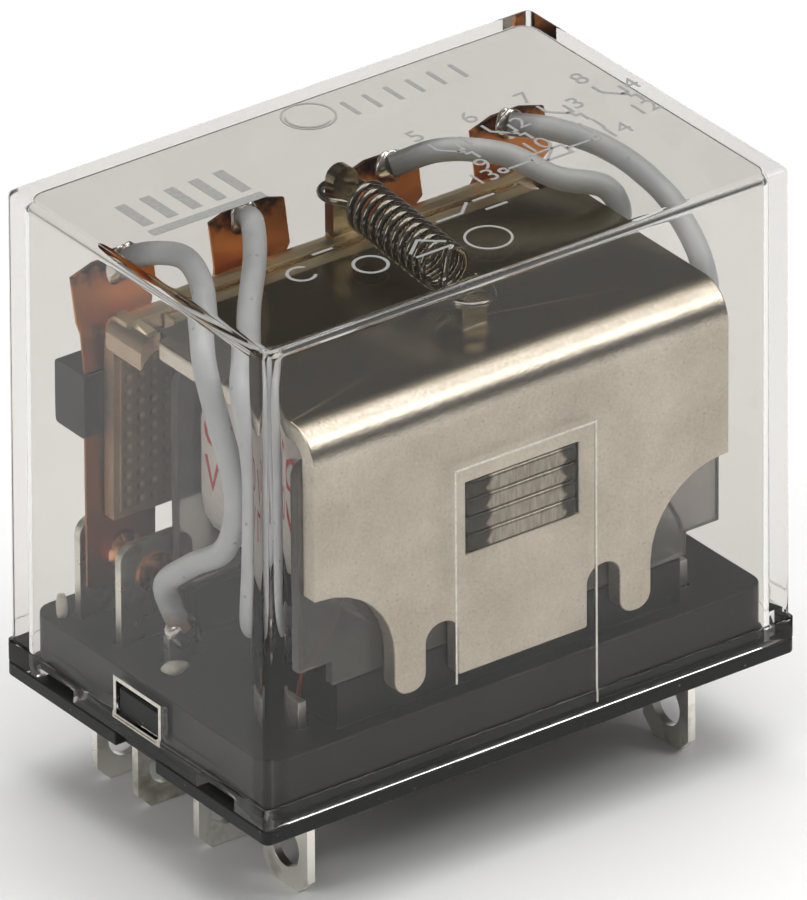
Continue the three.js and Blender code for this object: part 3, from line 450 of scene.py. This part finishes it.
def nickel(name, front, front_light, top, pitted):
    """Nickel plate in two finishes by height: front colours, matt and pitted, below the bend, and the
    smoother top colour above it, darker as painted shade, with a painted highlight as a pale band
    along the hinge groove."""
    material, tree = finish(name)
    place = add(tree, "ShaderNodeTexCoord").outputs["Object"]
    axes = add(tree, "ShaderNodeSeparateXYZ", {0: place})
    grain = add(tree, "ShaderNodeTexNoise", {
        "Vector": place, "Scale": 1000 / 0.22, "Detail": 5, "Roughness": 0.7})
    patch = add(tree, "ShaderNodeTexNoise", {
        "Vector": place, "Scale": 1000 / 5, "Detail": 5, "Roughness": 0.6})
    streak = add(tree, "ShaderNodeMapping", {"Vector": place, "Scale": (0.25, 1, 1)})
    wipe = add(tree, "ShaderNodeTexNoise", {"Vector": streak.outputs[0], "Scale": 1000 / 1.5, "Detail": 4})
    pits = add(tree, "ShaderNodeTexNoise", {"Vector": place, "Scale": 1000 / 0.2, "Detail": 2})
    pit = add(tree, "ShaderNodeMapRange", {
        "Value": pits.outputs["Fac"], "From Min": 0.62, "From Max": 0.74, "To Min": 0, "To Max": pitted})
    above = add(tree, "ShaderNodeMapRange", {"Value": axes.outputs["Z"], **bend_fade})
    blend = add(tree, "ShaderNodeMath", {0: grain.outputs["Fac"], 1: 0.9, 2: -0.45}, operation="MULTIPLY_ADD")
    cloudy = add(tree, "ShaderNodeMath", {0: patch.outputs["Fac"], 1: blend.outputs[0]}, operation="ADD")
    flat = add(tree, "ShaderNodeMix", {
        "Factor": cloudy.outputs[0], "A": linear(front), "B": linear(front_light)}, data_type="RGBA")
    spotted = add(tree, "ShaderNodeMix", {
        "Factor": pit.outputs[0], "A": flat.outputs["Result"], "B": linear("#4d453c")}, data_type="RGBA")
    # Painted shade with real wipe marks: above the bend the plate takes its darker top colour, streaked by
    # wiping.
    shaded_top_and_wipes = add(tree, "ShaderNodeMix", {
        "Factor": wipe.outputs["Fac"], "A": linear(top), "B": linear("#b0a58d")}, data_type="RGBA")
    tone = add(tree, "ShaderNodeMix", {
        "Factor": above.outputs[0], "A": spotted.outputs["Result"], "B": shaded_top_and_wipes.outputs["Result"]},
        data_type="RGBA")
    # Painted highlight: a pale band on top along both sides of the hinge groove, with ragged edges.
    hinge = add(tree, "ShaderNodeMath", {0: axes.outputs["Y"], 1: hinge_y}, operation="SUBTRACT")
    apart = add(tree, "ShaderNodeMath", {0: hinge.outputs[0]}, operation="ABSOLUTE")
    ragged = add(tree, "ShaderNodeMath", {0: grain.outputs["Fac"], 1: 0.0006}, operation="MULTIPLY")
    edge = add(tree, "ShaderNodeMath", {0: apart.outputs[0], 1: ragged.outputs[0]}, operation="ADD")
    groove_highlight = add(tree, "ShaderNodeMapRange", {
        "Value": edge.outputs[0], "From Min": 0.0019, "From Max": 0.0023, "To Min": 1, "To Max": 0})
    level = add(tree, "ShaderNodeMapRange", {
        "Value": axes.outputs["Z"], "From Min": 0.02755, "From Max": 0.0277, "To Min": 0.85, "To Max": 0})
    on_top = add(tree, "ShaderNodeMath", {0: level.outputs[0], 1: above.outputs[0]}, operation="MULTIPLY")
    highlight_band = add(tree, "ShaderNodeMath", {0: groove_highlight.outputs[0], 1: on_top.outputs[0]}, operation="MULTIPLY")
    with_highlight = add(tree, "ShaderNodeMix", {
        "Factor": highlight_band.outputs[0], "A": tone.outputs["Result"], "B": linear("#d9cba8")}, data_type="RGBA")
    dappled = add(tree, "ShaderNodeMath", {0: grain.outputs["Fac"], 1: 0.16}, operation="MULTIPLY")
    sheen = add(tree, "ShaderNodeMapRange", {
        "Value": axes.outputs["Z"], "From Min": 0.0246, "From Max": 0.0256, "To Min": 0.4, "To Max": 0.1})
    matt = add(tree, "ShaderNodeMath", {
        0: highlight_band.outputs[0], 1: 0.22, 2: sheen.outputs[0]}, operation="MULTIPLY_ADD")
    rough = add(tree, "ShaderNodeMath", {0: matt.outputs[0], 1: dappled.outputs[0]}, operation="ADD")
    depth = add(tree, "ShaderNodeMapRange", {
        "Value": above.outputs[0], "From Min": 0, "From Max": 1, "To Min": 0.9, "To Max": 0.2})
    bump = add(tree, "ShaderNodeBump", {
        "Height": grain.outputs["Fac"], "Strength": depth.outputs[0], "Distance": 0.00003})
    metal = add(tree, "ShaderNodeBsdfPrincipled", {
        "Base Color": with_highlight.outputs["Result"], "Metallic": 1, "Roughness": rough.outputs[0],
        "Normal": bump.outputs[0]})
    add(tree, "ShaderNodeOutputMaterial", {"Surface": metal.outputs[0]})
    return material


def eased(node, material, body, groove_y):
    """A refined copy whose long edges beside the hinge groove, at groove_y millimetres, are
    rounded seven times as wide as the others."""
    piece = refined(node, 0.8, material, body=body, segments=5)
    mesh = piece.data
    ends = np.empty(len(mesh.edges) * 2, np.int32)
    mesh.edges.foreach_get("vertices", ends)
    points = np.empty(len(mesh.vertices) * 3)
    mesh.vertices.foreach_get("co", points)
    pairs = points.reshape(-1, 3)[ends.reshape(-1, 2)] * 1000
    middle, run = pairs.mean(1), np.abs(pairs[:, 1] - pairs[:, 0])
    sharp = np.empty(len(mesh.edges), bool)
    mesh.attributes["sharp_edge"].data.foreach_get("value", sharp)
    wide = (np.abs(middle[:, 1] - groove_y) < 0.2) & (middle[:, 2] > groove_top) & (run[:, 0] > 5)
    weight = np.where(sharp, np.where(wide, 1.0, 0.14), 0.0)
    mesh.attributes.new("bevel_weight_edge", "FLOAT", "EDGE").data.foreach_set("value", weight)
    piece.modifiers["rounded_edges"].limit_method = "WEIGHT"
    return piece


# The third colour of each is the top's colour, darker as painted shade.
yoke_nickel = nickel("nickel_plated_yoke", "#c2baab", "#fbf5ea", "#8b8270", 0.35)
armature_nickel = nickel("nickel_plated_armature", "#b39a84", "#d9c6ae", "#958b77", 0.2)
eased("yoke", yoke_nickel, "frame", 5.905)
eased("armature", armature_nickel, "armature", 6.005)

dent_radius, dent_depth, dent_steps = 0.21, 0.14, 8
leg_foot, leg_rows, leg_face, leg_pivot = 13.1, 11, 7.455, 25.7
plate_proud, plate_depth = 0.16, 0.2


def knurled(name, first, last):
    """A thin plate on the front of the armature's leg, from first to last in X, knurled with
    round dents at one-millimetre spacing: within dent_radius R of a dent's centre the face
    sinks by dent_depth sqrt(1 - (r / R)^2), and the leg leans back by one degree."""
    x, z = np.meshgrid(
        np.arange(first * dent_steps, last * dent_steps + 1) / dent_steps,
        leg_foot + np.arange(leg_rows * dent_steps + 1) / dent_steps)
    off_x, off_z = x % 1 - 0.5, (z - leg_foot) % 1 - 0.5
    depth = dent_depth * np.sqrt(np.clip(1 - (off_x ** 2 + off_z ** 2) / dent_radius ** 2, 0, 1))
    y = leg_face + math.tan(math.radians(1)) * (leg_pivot - z)
    outer = np.stack([x, y - plate_proud + depth, z], -1).reshape(-1, 3)
    rows, columns = x.shape
    i, j = np.meshgrid(np.arange(rows - 1), np.arange(columns - 1), indexing="ij")
    corner = (i * columns + j).ravel()
    faces = np.stack([corner, corner + 1, corner + columns + 1, corner + columns], 1).tolist()
    border = np.concatenate([
        np.arange(columns), np.arange(1, rows) * columns + columns - 1,
        (rows - 1) * columns + np.arange(columns - 2, -1, -1), np.arange(rows - 2, 0, -1) * columns])
    sunk = outer[border] + [0, plate_depth, 0]
    n, k = len(border), np.arange(len(border))
    after = (k + 1) % n
    faces += np.stack([border[k], len(outer) + k, len(outer) + after, border[after]], 1).tolist()
    faces.append((len(outer) + k[::-1]).tolist())
    dents = surface(name, np.vstack([outer, sunk]), faces, armature_nickel, angle=50)
    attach(dents, "armature")


knurled("knurled_leg_left", -16, -6)
knurled("knurled_leg_right", 6, 16)

# ---- Contacts -----------------------------------------------------------------------------
# A bar of black plastic carries four copper-alloy leaf springs. The contacts are riveted
# buttons, rosy and bright.
holder_moulding = moulded_black("black_phenolic_bar", "#0e0e0f", 0.2)
refined("contact_holder", 0.12, holder_moulding, body="armature")

# Brown copper strip, annealed orange where the solder's heat reached it and burnt black at the tab.
leaf_copper, tree = finish("heat_stained_copper_leaf")
place = add(tree, "ShaderNodeTexCoord").outputs["Object"]
axes = add(tree, "ShaderNodeSeparateXYZ", {0: place})
patch = add(tree, "ShaderNodeTexNoise", {"Vector": place, "Scale": 1000 / 0.9, "Detail": 5})
drift = add(tree, "ShaderNodeMapRange", {
    "Value": patch.outputs["Fac"], "From Min": 0.2, "From Max": 0.8, "To Min": -0.0009, "To Max": 0.0009})
height = add(tree, "ShaderNodeMath", {0: axes.outputs["Z"], 1: drift.outputs[0]}, operation="ADD")
band = add(tree, "ShaderNodeMapRange", {
    "Value": height.outputs[0], "From Min": 0.022, "From Max": 0.0305, "To Min": 0, "To Max": 1})
tone = add(tree, "ShaderNodeValToRGB", {"Fac": band.outputs[0]}, stops=[
    (position, linear(colour)) for position, colour in (
        (0, "#a3683f"), (0.35, "#a5683c"), (0.5, "#e09a5f"), (0.8, "#d8894c"), (0.9, "#5a3a24"),
        (1, "#241a14"))])
bump = add(tree, "ShaderNodeBump", {"Height": patch.outputs["Fac"], "Strength": 0.4, "Distance": 0.00005})
metal = add(tree, "ShaderNodeBsdfPrincipled", {
    "Base Color": tone.outputs["Color"], "Metallic": 0.9, "Roughness": 0.38, "Normal": bump.outputs[0]})
add(tree, "ShaderNodeOutputMaterial", {"Surface": metal.outputs[0]})
contact_alloy = copper_like("rosy_contact_alloy", "#e08a5a", "#ffcba6", 0.16)


def wrapped(rings, count):
    """The faces of a closed skin on rings of count points each: quads between neighbouring
    rings, and a fan of triangles to the two tips that follow them."""
    i, j = np.meshgrid(np.arange(rings - 1), np.arange(count), indexing="ij")
    near, beside = (i * count + j).ravel(), (i * count + (j + 1) % count).ravel()
    faces = np.stack([near, near + count, beside + count, beside], 1).tolist()
    ring, after = np.arange(count), (np.arange(count) + 1) % count
    tip, end = rings * count, (rings - 1) * count
    faces += np.stack([np.full(count, tip), ring, after], 1).tolist()
    faces += np.stack([np.full(count, tip + 1), end + after, end + ring], 1).tolist()
    return faces


head_radius, shank_radius, rim_share, around = 1.375, 0.7, 0.45, 48


def button(node, strip, front_head, back_head, body):
    """A riveted contact, turned about Y through its own centre, with the strip's front and back
    faces and the heads' heights in millimetres. Each head is a flat disc rim with a dome on it:
    at radius r the dome stands (1 - (r / R)^2) of its rise above the rim, and the shank joins
    the two heads through the strip."""
    front, back = strip
    low, high = (np.array(corner) * 1000 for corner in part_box(node))
    share = np.linspace(0, 1, 9)
    rise = lambda head: head * (rim_share + (1 - rim_share) * (1 - share ** 2))
    y = np.concatenate([front - rise(front_head), [front - 0.02, front - 0.02, back + 0.02, back + 0.02],
                        (back + rise(back_head))[::-1]])
    r = np.concatenate([
        head_radius * share, [head_radius, shank_radius, shank_radius, head_radius],
        head_radius * share[::-1]])
    turn = np.linspace(0, 2 * np.pi, around + 1)[:-1]
    middle = (low + high) / 2
    x = middle[0] + r[1:-1, None] * np.cos(turn)
    z = middle[2] + r[1:-1, None] * np.sin(turn)
    rings = np.stack([x, np.broadcast_to(y[1:-1, None], x.shape), z], -1).reshape(-1, 3)
    tips = [[middle[0], y[0], middle[2]], [middle[0], y[-1], middle[2]]]
    piece = surface(
        node + "_turned", np.vstack([rings, tips]), wrapped(len(r) - 2, around), contact_alloy, angle=50)
    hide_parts(node)
    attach(piece, body)


leaf, closed_plate, open_plate = (8.955, 9.155), (9.755, 10.355), (5.305, 5.905)
for number in range(1, 5):
    refined(f"moving_spring_{number}", 0.04, leaf_copper, body="armature")
    button(f"moving_contact_{number}", leaf, 1.1, 0.3, "armature")
    button(f"nc_contact_{number}", closed_plate, 0.25, 0.35, "frame")
    button(f"no_contact_{number}", open_plate, 0.35, 0.95, "frame")

# ---- Return spring ------------------------------------------------------------------------
# Close-wound hard-drawn steel wire, dark and bright, hooked at the rear over the armature's
# tab and in front round the yoke's.
hard_wire = mottled("hard_drawn_spring_wire", 0.2, 3, "#6a665f", "#a8a49b", 0.13, metallic=1)


def swept(name, path, diameter, material, sides=12):
    """A round bar of the given diameter along a path of points, all in millimetres, made from
    a curve and turned into a mesh, with its ends closed."""
    curve = bpy.data.curves.new(name, "CURVE")
    curve.dimensions = "3D"
    curve.bevel_depth = diameter / 2000
    curve.bevel_resolution = sides // 2 - 2
    curve.use_fill_caps = True
    spline = curve.splines.new("POLY")
    spline.points.add(len(path) - 1)
    spline.points.foreach_set("co", np.hstack([np.asarray(path) / 1000, np.ones((len(path), 1))]).ravel())
    drawn = bpy.data.objects.new(name, curve)
    bpy.context.scene.collection.objects.link(drawn)
    mesh = bpy.data.meshes.new_from_object(drawn.evaluated_get(bpy.context.evaluated_depsgraph_get()))
    bpy.data.objects.remove(drawn)
    return shaded(name, mesh, material, 60)


# The helix runs along the line from its first turn's centre to its last one's, and each end
# turns into a loop about a centre of its own. A little smoothing eases wire into loop.
radius, turns, wire, steps = 1.55, 11.5, 0.48, 40
rear_loop, front_loop = np.array([0.7, 6.755, 30.55]), np.array([0.5, -6.5, 29.45])
first_turn, last_turn = np.array([0.7, 4.655, 30.55]), np.array([0.5, -4.4, 29.8])
hook = np.radians(np.linspace(-60, 250, steps))[:, None]
grip = np.radians(np.linspace(110, 390, steps))[:, None]
along = np.linspace(0, 1, int(turns * steps))[:, None]
wind = -np.pi / 2 + 2 * np.pi * turns * along
path = np.vstack([
    rear_loop + radius * np.hstack([np.cos(hook), np.sin(hook), 0 * hook]),
    first_turn + (last_turn - first_turn) * along
    + radius * np.hstack([np.cos(wind), 0 * wind, np.sin(wind)]),
    front_loop + radius * np.hstack([np.cos(grip), np.sin(grip), 0 * grip])])
for _ in range(3):
    path[1:-1] = (path[:-2] + 2 * path[1:-1] + path[2:]) / 4
spring = swept("return_spring_wound", path, wire, hard_wire)
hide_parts("return_spring")
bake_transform(spring)

# ---- Leads --------------------------------------------------------------------------------
# Stranded leads in a soft grey-white sleeve, soldered between each leaf and its terminal. The
# iron has charred the sleeve at the leaf and browned it at the foot, and dirt speckles it.
sleeve, tree = finish("silicone_rubber_sleeve")
place = add(tree, "ShaderNodeTexCoord").outputs["Object"]
axes = add(tree, "ShaderNodeSeparateXYZ", {0: place})
scuff = add(tree, "ShaderNodeTexNoise", {
    "Vector": place, "Scale": 1000 / 2.4, "Detail": 6, "Roughness": 0.6})
grime = add(tree, "ShaderNodeTexVoronoi", {"Vector": place, "Scale": 1000 / 1.5})
speck = add(tree, "ShaderNodeMapRange", {
    "Value": grime.outputs["Distance"], "From Min": 0.06, "From Max": 0.13, "To Min": 0.5, "To Max": 0})
tone = add(tree, "ShaderNodeMix", {
    "Factor": scuff.outputs["Fac"], "A": linear("#b3b9c0"), "B": linear("#dde1e5")}, data_type="RGBA")
marked = add(tree, "ShaderNodeMix", {
    "Factor": speck.outputs[0], "A": tone.outputs["Result"], "B": linear("#6d7277")}, data_type="RGBA")
wander = add(tree, "ShaderNodeMath", {
    0: scuff.outputs["Fac"], 1: 0.002, 2: axes.outputs["Y"]}, operation="MULTIPLY_ADD")
burnt = add(tree, "ShaderNodeMapRange", {
    "Value": wander.outputs[0], "From Min": 0.0078, "From Max": 0.0096, "To Min": 0, "To Max": 0.75})
charred = add(tree, "ShaderNodeMix", {
    "Factor": burnt.outputs[0], "A": marked.outputs["Result"], "B": linear("#3b3a3a")}, data_type="RGBA")
low = add(tree, "ShaderNodeMath", {
    0: scuff.outputs["Fac"], 1: 0.002, 2: axes.outputs["Z"]}, operation="MULTIPLY_ADD")
scorched = add(tree, "ShaderNodeMapRange", {
    "Value": low.outputs[0], "From Min": 0.0098, "From Max": 0.0084, "To Min": 0, "To Max": 0.85})
amber = add(tree, "ShaderNodeMix", {
    "Factor": scorched.outputs[0], "A": charred.outputs["Result"], "B": linear("#8a6338")}, data_type="RGBA")
bump = add(tree, "ShaderNodeBump", {"Height": scuff.outputs["Fac"], "Strength": 0.5, "Distance": 0.0001})
rubber = add(tree, "ShaderNodeBsdfPrincipled", {
    "Base Color": amber.outputs["Result"], "Roughness": 0.36, "Normal": bump.outputs[0]})
add(tree, "ShaderNodeOutputMaterial", {"Surface": rubber.outputs[0]})


def flowing(points, steps=14):
    """A centripetal Catmull-Rom curve through the points. With knots spaced by the square root
    of each chord, the tangent at a point blends the slopes either side of it, and each chord
    becomes a Hermite cubic."""
    p = np.asarray(points, float)
    p = np.vstack([2 * p[0] - p[1], p, 2 * p[-1] - p[-2]])
    chord = np.linalg.norm(np.diff(p, axis=0), axis=1)[:, None] ** 0.5
    before, here, after = chord[:-2], chord[1:-1], chord[2:]
    a, b, c, d = p[:-3], p[1:-2], p[2:-1], p[3:]
    leave = here * ((b - a) / before - (c - a) / (before + here) + (c - b) / here)
    reach = here * ((c - b) / here - (d - b) / (here + after) + (d - c) / after)
    t = np.linspace(0, 1, steps, endpoint=False)[None, :, None]
    cubic = ((2 * t ** 3 - 3 * t ** 2 + 1) * b[:, None] + (t ** 3 - 2 * t ** 2 + t) * leave[:, None]
             + (3 * t ** 2 - 2 * t ** 3) * c[:, None] + (t ** 3 - t ** 2) * reach[:, None])
    return np.vstack([cubic.reshape(-1, 3), p[-2:-1]])


sleeve_diameter = 1.55
lead_routes = (
    ((-14.7, 8.96, 29.7), (-13.9, 7.66, 30.4), (-13.1, 5.2, 30.98), (-13.9, 2.2, 30.87),
     (-15.87, -1.1, 30.28), (-17.37, -3.6, 28.87), (-17.57, -5.3, 25.67), (-17.57, -6.7, 22.67),
     (-17.47, -6.9, 19.88), (-17.37, -5.6, 16.7), (-17.27, -1.8, 13.8), (-17.07, 1.3, 11),
     (-16.2, 2, 8.9), (-15.5, 1.8, 7.1)),
    ((-5.4, 8.96, 29.7), (-5.9, 7.66, 30.2), (-8.1, 4.3, 29.87), (-11.7, 0, 28.98),
     (-14.67, -4, 28.78), (-16.97, -7, 28.48), (-17.37, -8.2, 26.28), (-17.27, -8.6, 23.48),
     (-17.27, -8.6, 19.3), (-17.27, -8.5, 16.8), (-16.77, -7.6, 13.3), (-15.57, -6, 10.9),
     (-13.77, -4, 9.3), (-11.6, -2, 8.5), (-10.5, -1.6, 7.8), (-10.5, -1.6, 7.1)),
    ((6, 8.96, 29.7), (8.8, 7.46, 30.6), (12, 4.8, 30.37), (13.9, 1.8, 29.37), (16.47, 0.2, 28.58),
     (17.27, -0.2, 27.08), (17.27, 0.3, 23.3), (17.27, 0.5, 17.3), (16.67, 0.4, 13.8), (15.07, 0, 11.3),
     (13.07, -0.8, 9.5), (11.5, -1.6, 8.5), (10.5, -1.6, 7.8), (10.5, -1.6, 7.1)),
    ((15.5, 8.96, 29.7), (17.2, 6.86, 29.7), (18.47, 3, 29.67), (18.67, -1.5, 29.28),
     (18.57, -4.8, 28.28), (18.27, -7.6, 25.87), (18.07, -8.2, 22.3), (17.97, -7.5, 17.3),
     (17.77, -5, 13.3), (17.37, -2, 10.8), (16.3, 1, 8.9), (15.7, 1.8, 8), (15.5, 1.8, 7.1)),
)
for number, route in enumerate(lead_routes, 1):
    lead = swept(f"sleeved_lead_{number}", flowing(route), sleeve_diameter, sleeve, sides=20)
    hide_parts(f"lead_wire_{number}")
    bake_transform(lead)

# Solder sets bright and slightly crinkled.
tin_solder = mottled(
    "tin_lead_solder", 0.5, 4, "#b9b5ad", "#fbf9f5", 0.2, metallic=1, relief=(0.5, 0.0001))


def lump(name, centre, half, seed, material, body):
    """A set drop of solder or flux: an ellipsoid with the given half sizes in millimetres,
    swollen by 1 + 0.12 sin(2 turn + seed) sin(3 tilt) + 0.08 sin(3 turn - seed) sin(tilt)."""
    turn = np.linspace(0, 2 * np.pi, 25)[:-1]
    tilt = np.linspace(0, np.pi, 15)[1:-1, None]
    swell = (1 + 0.12 * np.sin(2 * turn + seed) * np.sin(3 * tilt)
             + 0.08 * np.sin(3 * turn - seed) * np.sin(tilt))
    grid = np.stack([swell * np.sin(tilt) * np.cos(turn), swell * np.sin(tilt) * np.sin(turn),
                     swell * np.cos(tilt)], -1).reshape(-1, 3)
    points = np.vstack([grid, [[0, 0, 1], [0, 0, -1]]]) * half + centre
    piece = surface(name, points, wrapped(len(tilt), len(turn)), material, angle=80)
    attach(piece, body)


for number, route in enumerate(lead_routes, 1):
    start, end = np.array(route[0]), np.array(route[-1])
    lump(f"tab_solder_{number}", start + [0.1, 0.35, -0.2], (1.1, 0.5, 1.1), number, tin_solder,
         "armature")
    lump(f"foot_solder_{number}", end + [0, 0, -0.1], (1.15, 0.75, 1.25), number + 4, tin_solder,
         "frame")

# Spilt flux dries pale and crusty where it fell on the base.
flux = mottled("dried_rosin_flux", 0.4, 4, "#b9b3a8", "#f7f5f0", 0.25, relief=(0.6, 0.0001))
lump("flux_chip", np.array([-18.6, 10.6, 5.7]), (0.35, 0.5, 1.0), 2.0, flux, "frame")
lump("flux_drop", np.array([-16.9, 0.6, 5.2]), (0.9, 0.7, 0.35), 5.0, flux, "frame")

# ---- Cover --------------------------------------------------------------------------------
# One clear polycarbonate moulding, snapped over the base. Its walls bend what is seen through
# them, and its corners and top edges gather the dim room into grey bands.

# Gloss-moulded, with slow ripples. Lamp and matt rays, and rays caught between the walls, pass
# straight through, so the inside stays lit and the rims stay clear.
clear_moulding, tree = finish("clear_polycarbonate")
place = add(tree, "ShaderNodeTexCoord").outputs["Object"]
ripple = add(tree, "ShaderNodeTexNoise", {"Vector": place, "Scale": 1000 / 5, "Detail": 1})
bump = add(tree, "ShaderNodeBump", {"Height": ripple.outputs["Fac"], "Strength": 0.2, "Distance": 0.00005})
plastic = add(tree, "ShaderNodeBsdfPrincipled", {
    "Base Color": linear("#eeedeb"), "Roughness": 0.01, "IOR": 1.3, "Transmission Weight": 1,
    "Normal": bump.outputs[0]})
rays = add(tree, "ShaderNodeLightPath")
lamp_or_matt = add(tree, "ShaderNodeMath", {
    0: rays.outputs["Is Shadow Ray"], 1: rays.outputs["Is Diffuse Ray"]}, operation="MAXIMUM")
clear = add(tree, "ShaderNodeBsdfTransparent", {"Color": linear("#ebe9e6")})
trapped = add(tree, "ShaderNodeMath", {0: rays.outputs["Ray Depth"], 1: 2.5}, operation="GREATER_THAN")
passing = add(tree, "ShaderNodeMath", {
    0: lamp_or_matt.outputs[0], 1: trapped.outputs[0]}, operation="MAXIMUM")
mix = add(tree, "ShaderNodeMixShader", {
    0: passing.outputs[0], 1: plastic.outputs[0], 2: clear.outputs[0]})
add(tree, "ShaderNodeOutputMaterial", {"Surface": mix.outputs[0]})
refined("cover", 0, clear_moulding, angle=35, joined=False)

# Pad printing is thin, so its grey is uneven. The signs are a general switch and coil diagram.
print_paint = mottled("pale_grey_pad_print", 0.25, 3, "#7b7b79", "#a3a3a0", 0.6)
cover_top, ink = 35, 0.02
pole_x = (4.2, 8.4, 12.8, 17.2)
roof = lambda p: p + [0, 0, cover_top + 0.003]
diagram = []
for x in pole_x:
    diagram += [[(x, 2.5), (x, 1.5), (x + 1.3, 0.2)], [(x + 1.4, 1.6), (x + 1.4, 0.6), (x + 0.9, 0.6)],
                [(x + 1.6, -0.9), (x + 1.6, 0.0), (x + 1.1, 0.0)]]
diagram += [
    [(8.2, -3.8), (10.9, -3.8), (10.9, -2.6), (8.2, -2.6), (8.2, -3.8)], [(6.2, -3.2), (8.2, -3.2)],
    [(10.9, -3.2), (12.9, -3.2)], [(8.9, -3.8), (10.2, -2.6)],
    bow((5.9, -3.2), (0.28, 0.28), 0, 360), bow((13.2, -3.2), (0.28, 0.28), 0, 360),
    [(-1.6, -6.2), (0.4, -6.2), (1.5, -5.2)], [(1.9, -6.7), (3.6, -6.7)], [(1.9, -5.3), (3.6, -5.3)],
    bow((-8.2, -8.2), (1.1, 1.1), 0, 360, 33), [(-10.4, -5), (-8.8, -5)],
    [(-5.4, -8.6), (-4, -7.4), (-2.6, -8.6)], [(-5.4, -9.2), (-2.6, -9.2)],
    bow((-12.4, -6.6), (0.9, 0.9), 40, 320, 25)]
bars = [[(x, 4.4), (x, 7.6)] for x in (-16.2 + 1.9 * np.arange(5)).tolist()] + [[(-16.8, 3.4), (-8, 3.4)]]
rules = [[(x, 8.4), (x, 10.4)] for x in (3.2 + 1.7 * np.arange(6)).tolist()]
for name, strokes, width in (
        ("printed_diagram", diagram, 0.22), ("printed_bars", bars, 0.8), ("printed_rules", rules, 0.34)):
    ribbons(name, strokes, width, ink, roof, print_paint, "frame")


def lettering(name, words, material):
    """Numerals as thin plates on the cover's top, merged in one mesh. Each entry is the text,
    its X and Y in millimetres and its height."""
    parts = []
    for text, x, y, height in words:
        font = bpy.data.curves.new(name, "FONT")
        font.body, font.size, font.extrude = text, height * 1.4, 0.01
        font.align_x = font.align_y = "CENTER"
        drawn = bpy.data.objects.new(name, font)
        bpy.context.scene.collection.objects.link(drawn)
        settled = drawn.evaluated_get(bpy.context.evaluated_depsgraph_get())
        mesh = bpy.data.meshes.new_from_object(settled)
        bpy.data.objects.remove(drawn)
        mesh.transform(Matrix.Translation((x, y, cover_top + 0.015)))
        parts.append(mesh)
    work = bmesh.new()
    for mesh in parts:
        work.from_mesh(mesh)
        bpy.data.meshes.remove(mesh)
    bmesh.ops.remove_doubles(work, verts=work.verts, dist=1e-5)
    bmesh.ops.scale(work, vec=(0.001, 0.001, 0.001), verts=work.verts)
    joined = bpy.data.meshes.new(name)
    work.to_mesh(joined)
    work.free()
    joined.materials.clear()
    joined.materials.append(material)
    piece = bpy.data.objects.new(name, joined)
    bpy.context.scene.collection.objects.link(piece)
    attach(piece, "frame")


size = 1.5
numbers = [(str(k + 5), x, 3.8, size) for k, x in enumerate(pole_x)]
numbers += [(str(k + 1), x + 2.2, 1.3, size) for k, x in enumerate(pole_x)]
numbers += [(str(k + 9), x + 1.2, -1.8, size) for k, x in enumerate(pole_x[:3])]
numbers += [("12", 18.2, -1.8, size), ("13", 4.4, -3.2, size), ("14", 14.9, -3.2, size)]
lettering("printed_numbers", numbers, print_paint)

# Marks that the mould leaves: satin rings where its pins met the top. The pale lines where a panel
# steps back in the front wall and where the latch windows are cut at both sides are painted
# highlights, the light those edges catch.
gate_mark, tree = finish("satin_moulding_mark")
place = add(tree, "ShaderNodeTexCoord").outputs["Object"]
frost = add(tree, "ShaderNodeTexNoise", {"Vector": place, "Scale": 1000 / 0.2, "Detail": 3})
bump = add(tree, "ShaderNodeBump", {"Height": frost.outputs["Fac"], "Strength": 0.4, "Distance": 0.00003})
satin = add(tree, "ShaderNodeBsdfPrincipled", {
    "Base Color": linear("#a3a09c"), "Roughness": 0.25, "Normal": bump.outputs[0]})
add(tree, "ShaderNodeOutputMaterial", {"Surface": satin.outputs[0]})
# Painted highlight: pale lines along the panel step and the latch window edges.
painted_edge_highlight = mottled("pale_edge_highlight_paint", 0.3, 3, "#b5ab98", "#fbf8f0", 0.3)

draft = lambda v: 0.0033 * (v - 1.1)
front_wall = lambda p: np.stack([p[:, 0], -13.88 + draft(p[:, 1]) - p[:, 2], p[:, 1]], 1)
left_wall = lambda p: np.stack([-20.745 + draft(p[:, 1]) - p[:, 2], -p[:, 0], p[:, 1]], 1)
right_wall = lambda p: left_wall(p) * [-1, -1, 1]
panel = [[(-5.85, 6.6), (-5.85, 21.85), (5.2, 21.85), (5.2, 1.6)]]
window = [[(-2.42, 2.1), (2.42, 2.1), (2.42, 4.82), (-2.42, 4.82), (-2.42, 2.1)]]
pins = [bow((0.4, 10.1), (1.75, 1.75), 0, 360, 49), bow((0.4, 10.1), (1.5, 1.5), 150, 300, 25),
        bow((-0.2, -9.8), (1.5, 1.5), 0, 360, 49)]
for name, strokes, width, height, wall, material in (
        ("panel_step_line", panel, 0.13, 0.04, front_wall, painted_edge_highlight),
        ("latch_window_edge_left", window, 0.26, 0.03, left_wall, painted_edge_highlight),
        ("latch_window_edge_right", window, 0.26, 0.03, right_wall, painted_edge_highlight),
        ("gate_marks", pins, 0.16, 0.05, roof, gate_mark)):
    ribbons(name, strokes, width, height, wall, material, "frame")
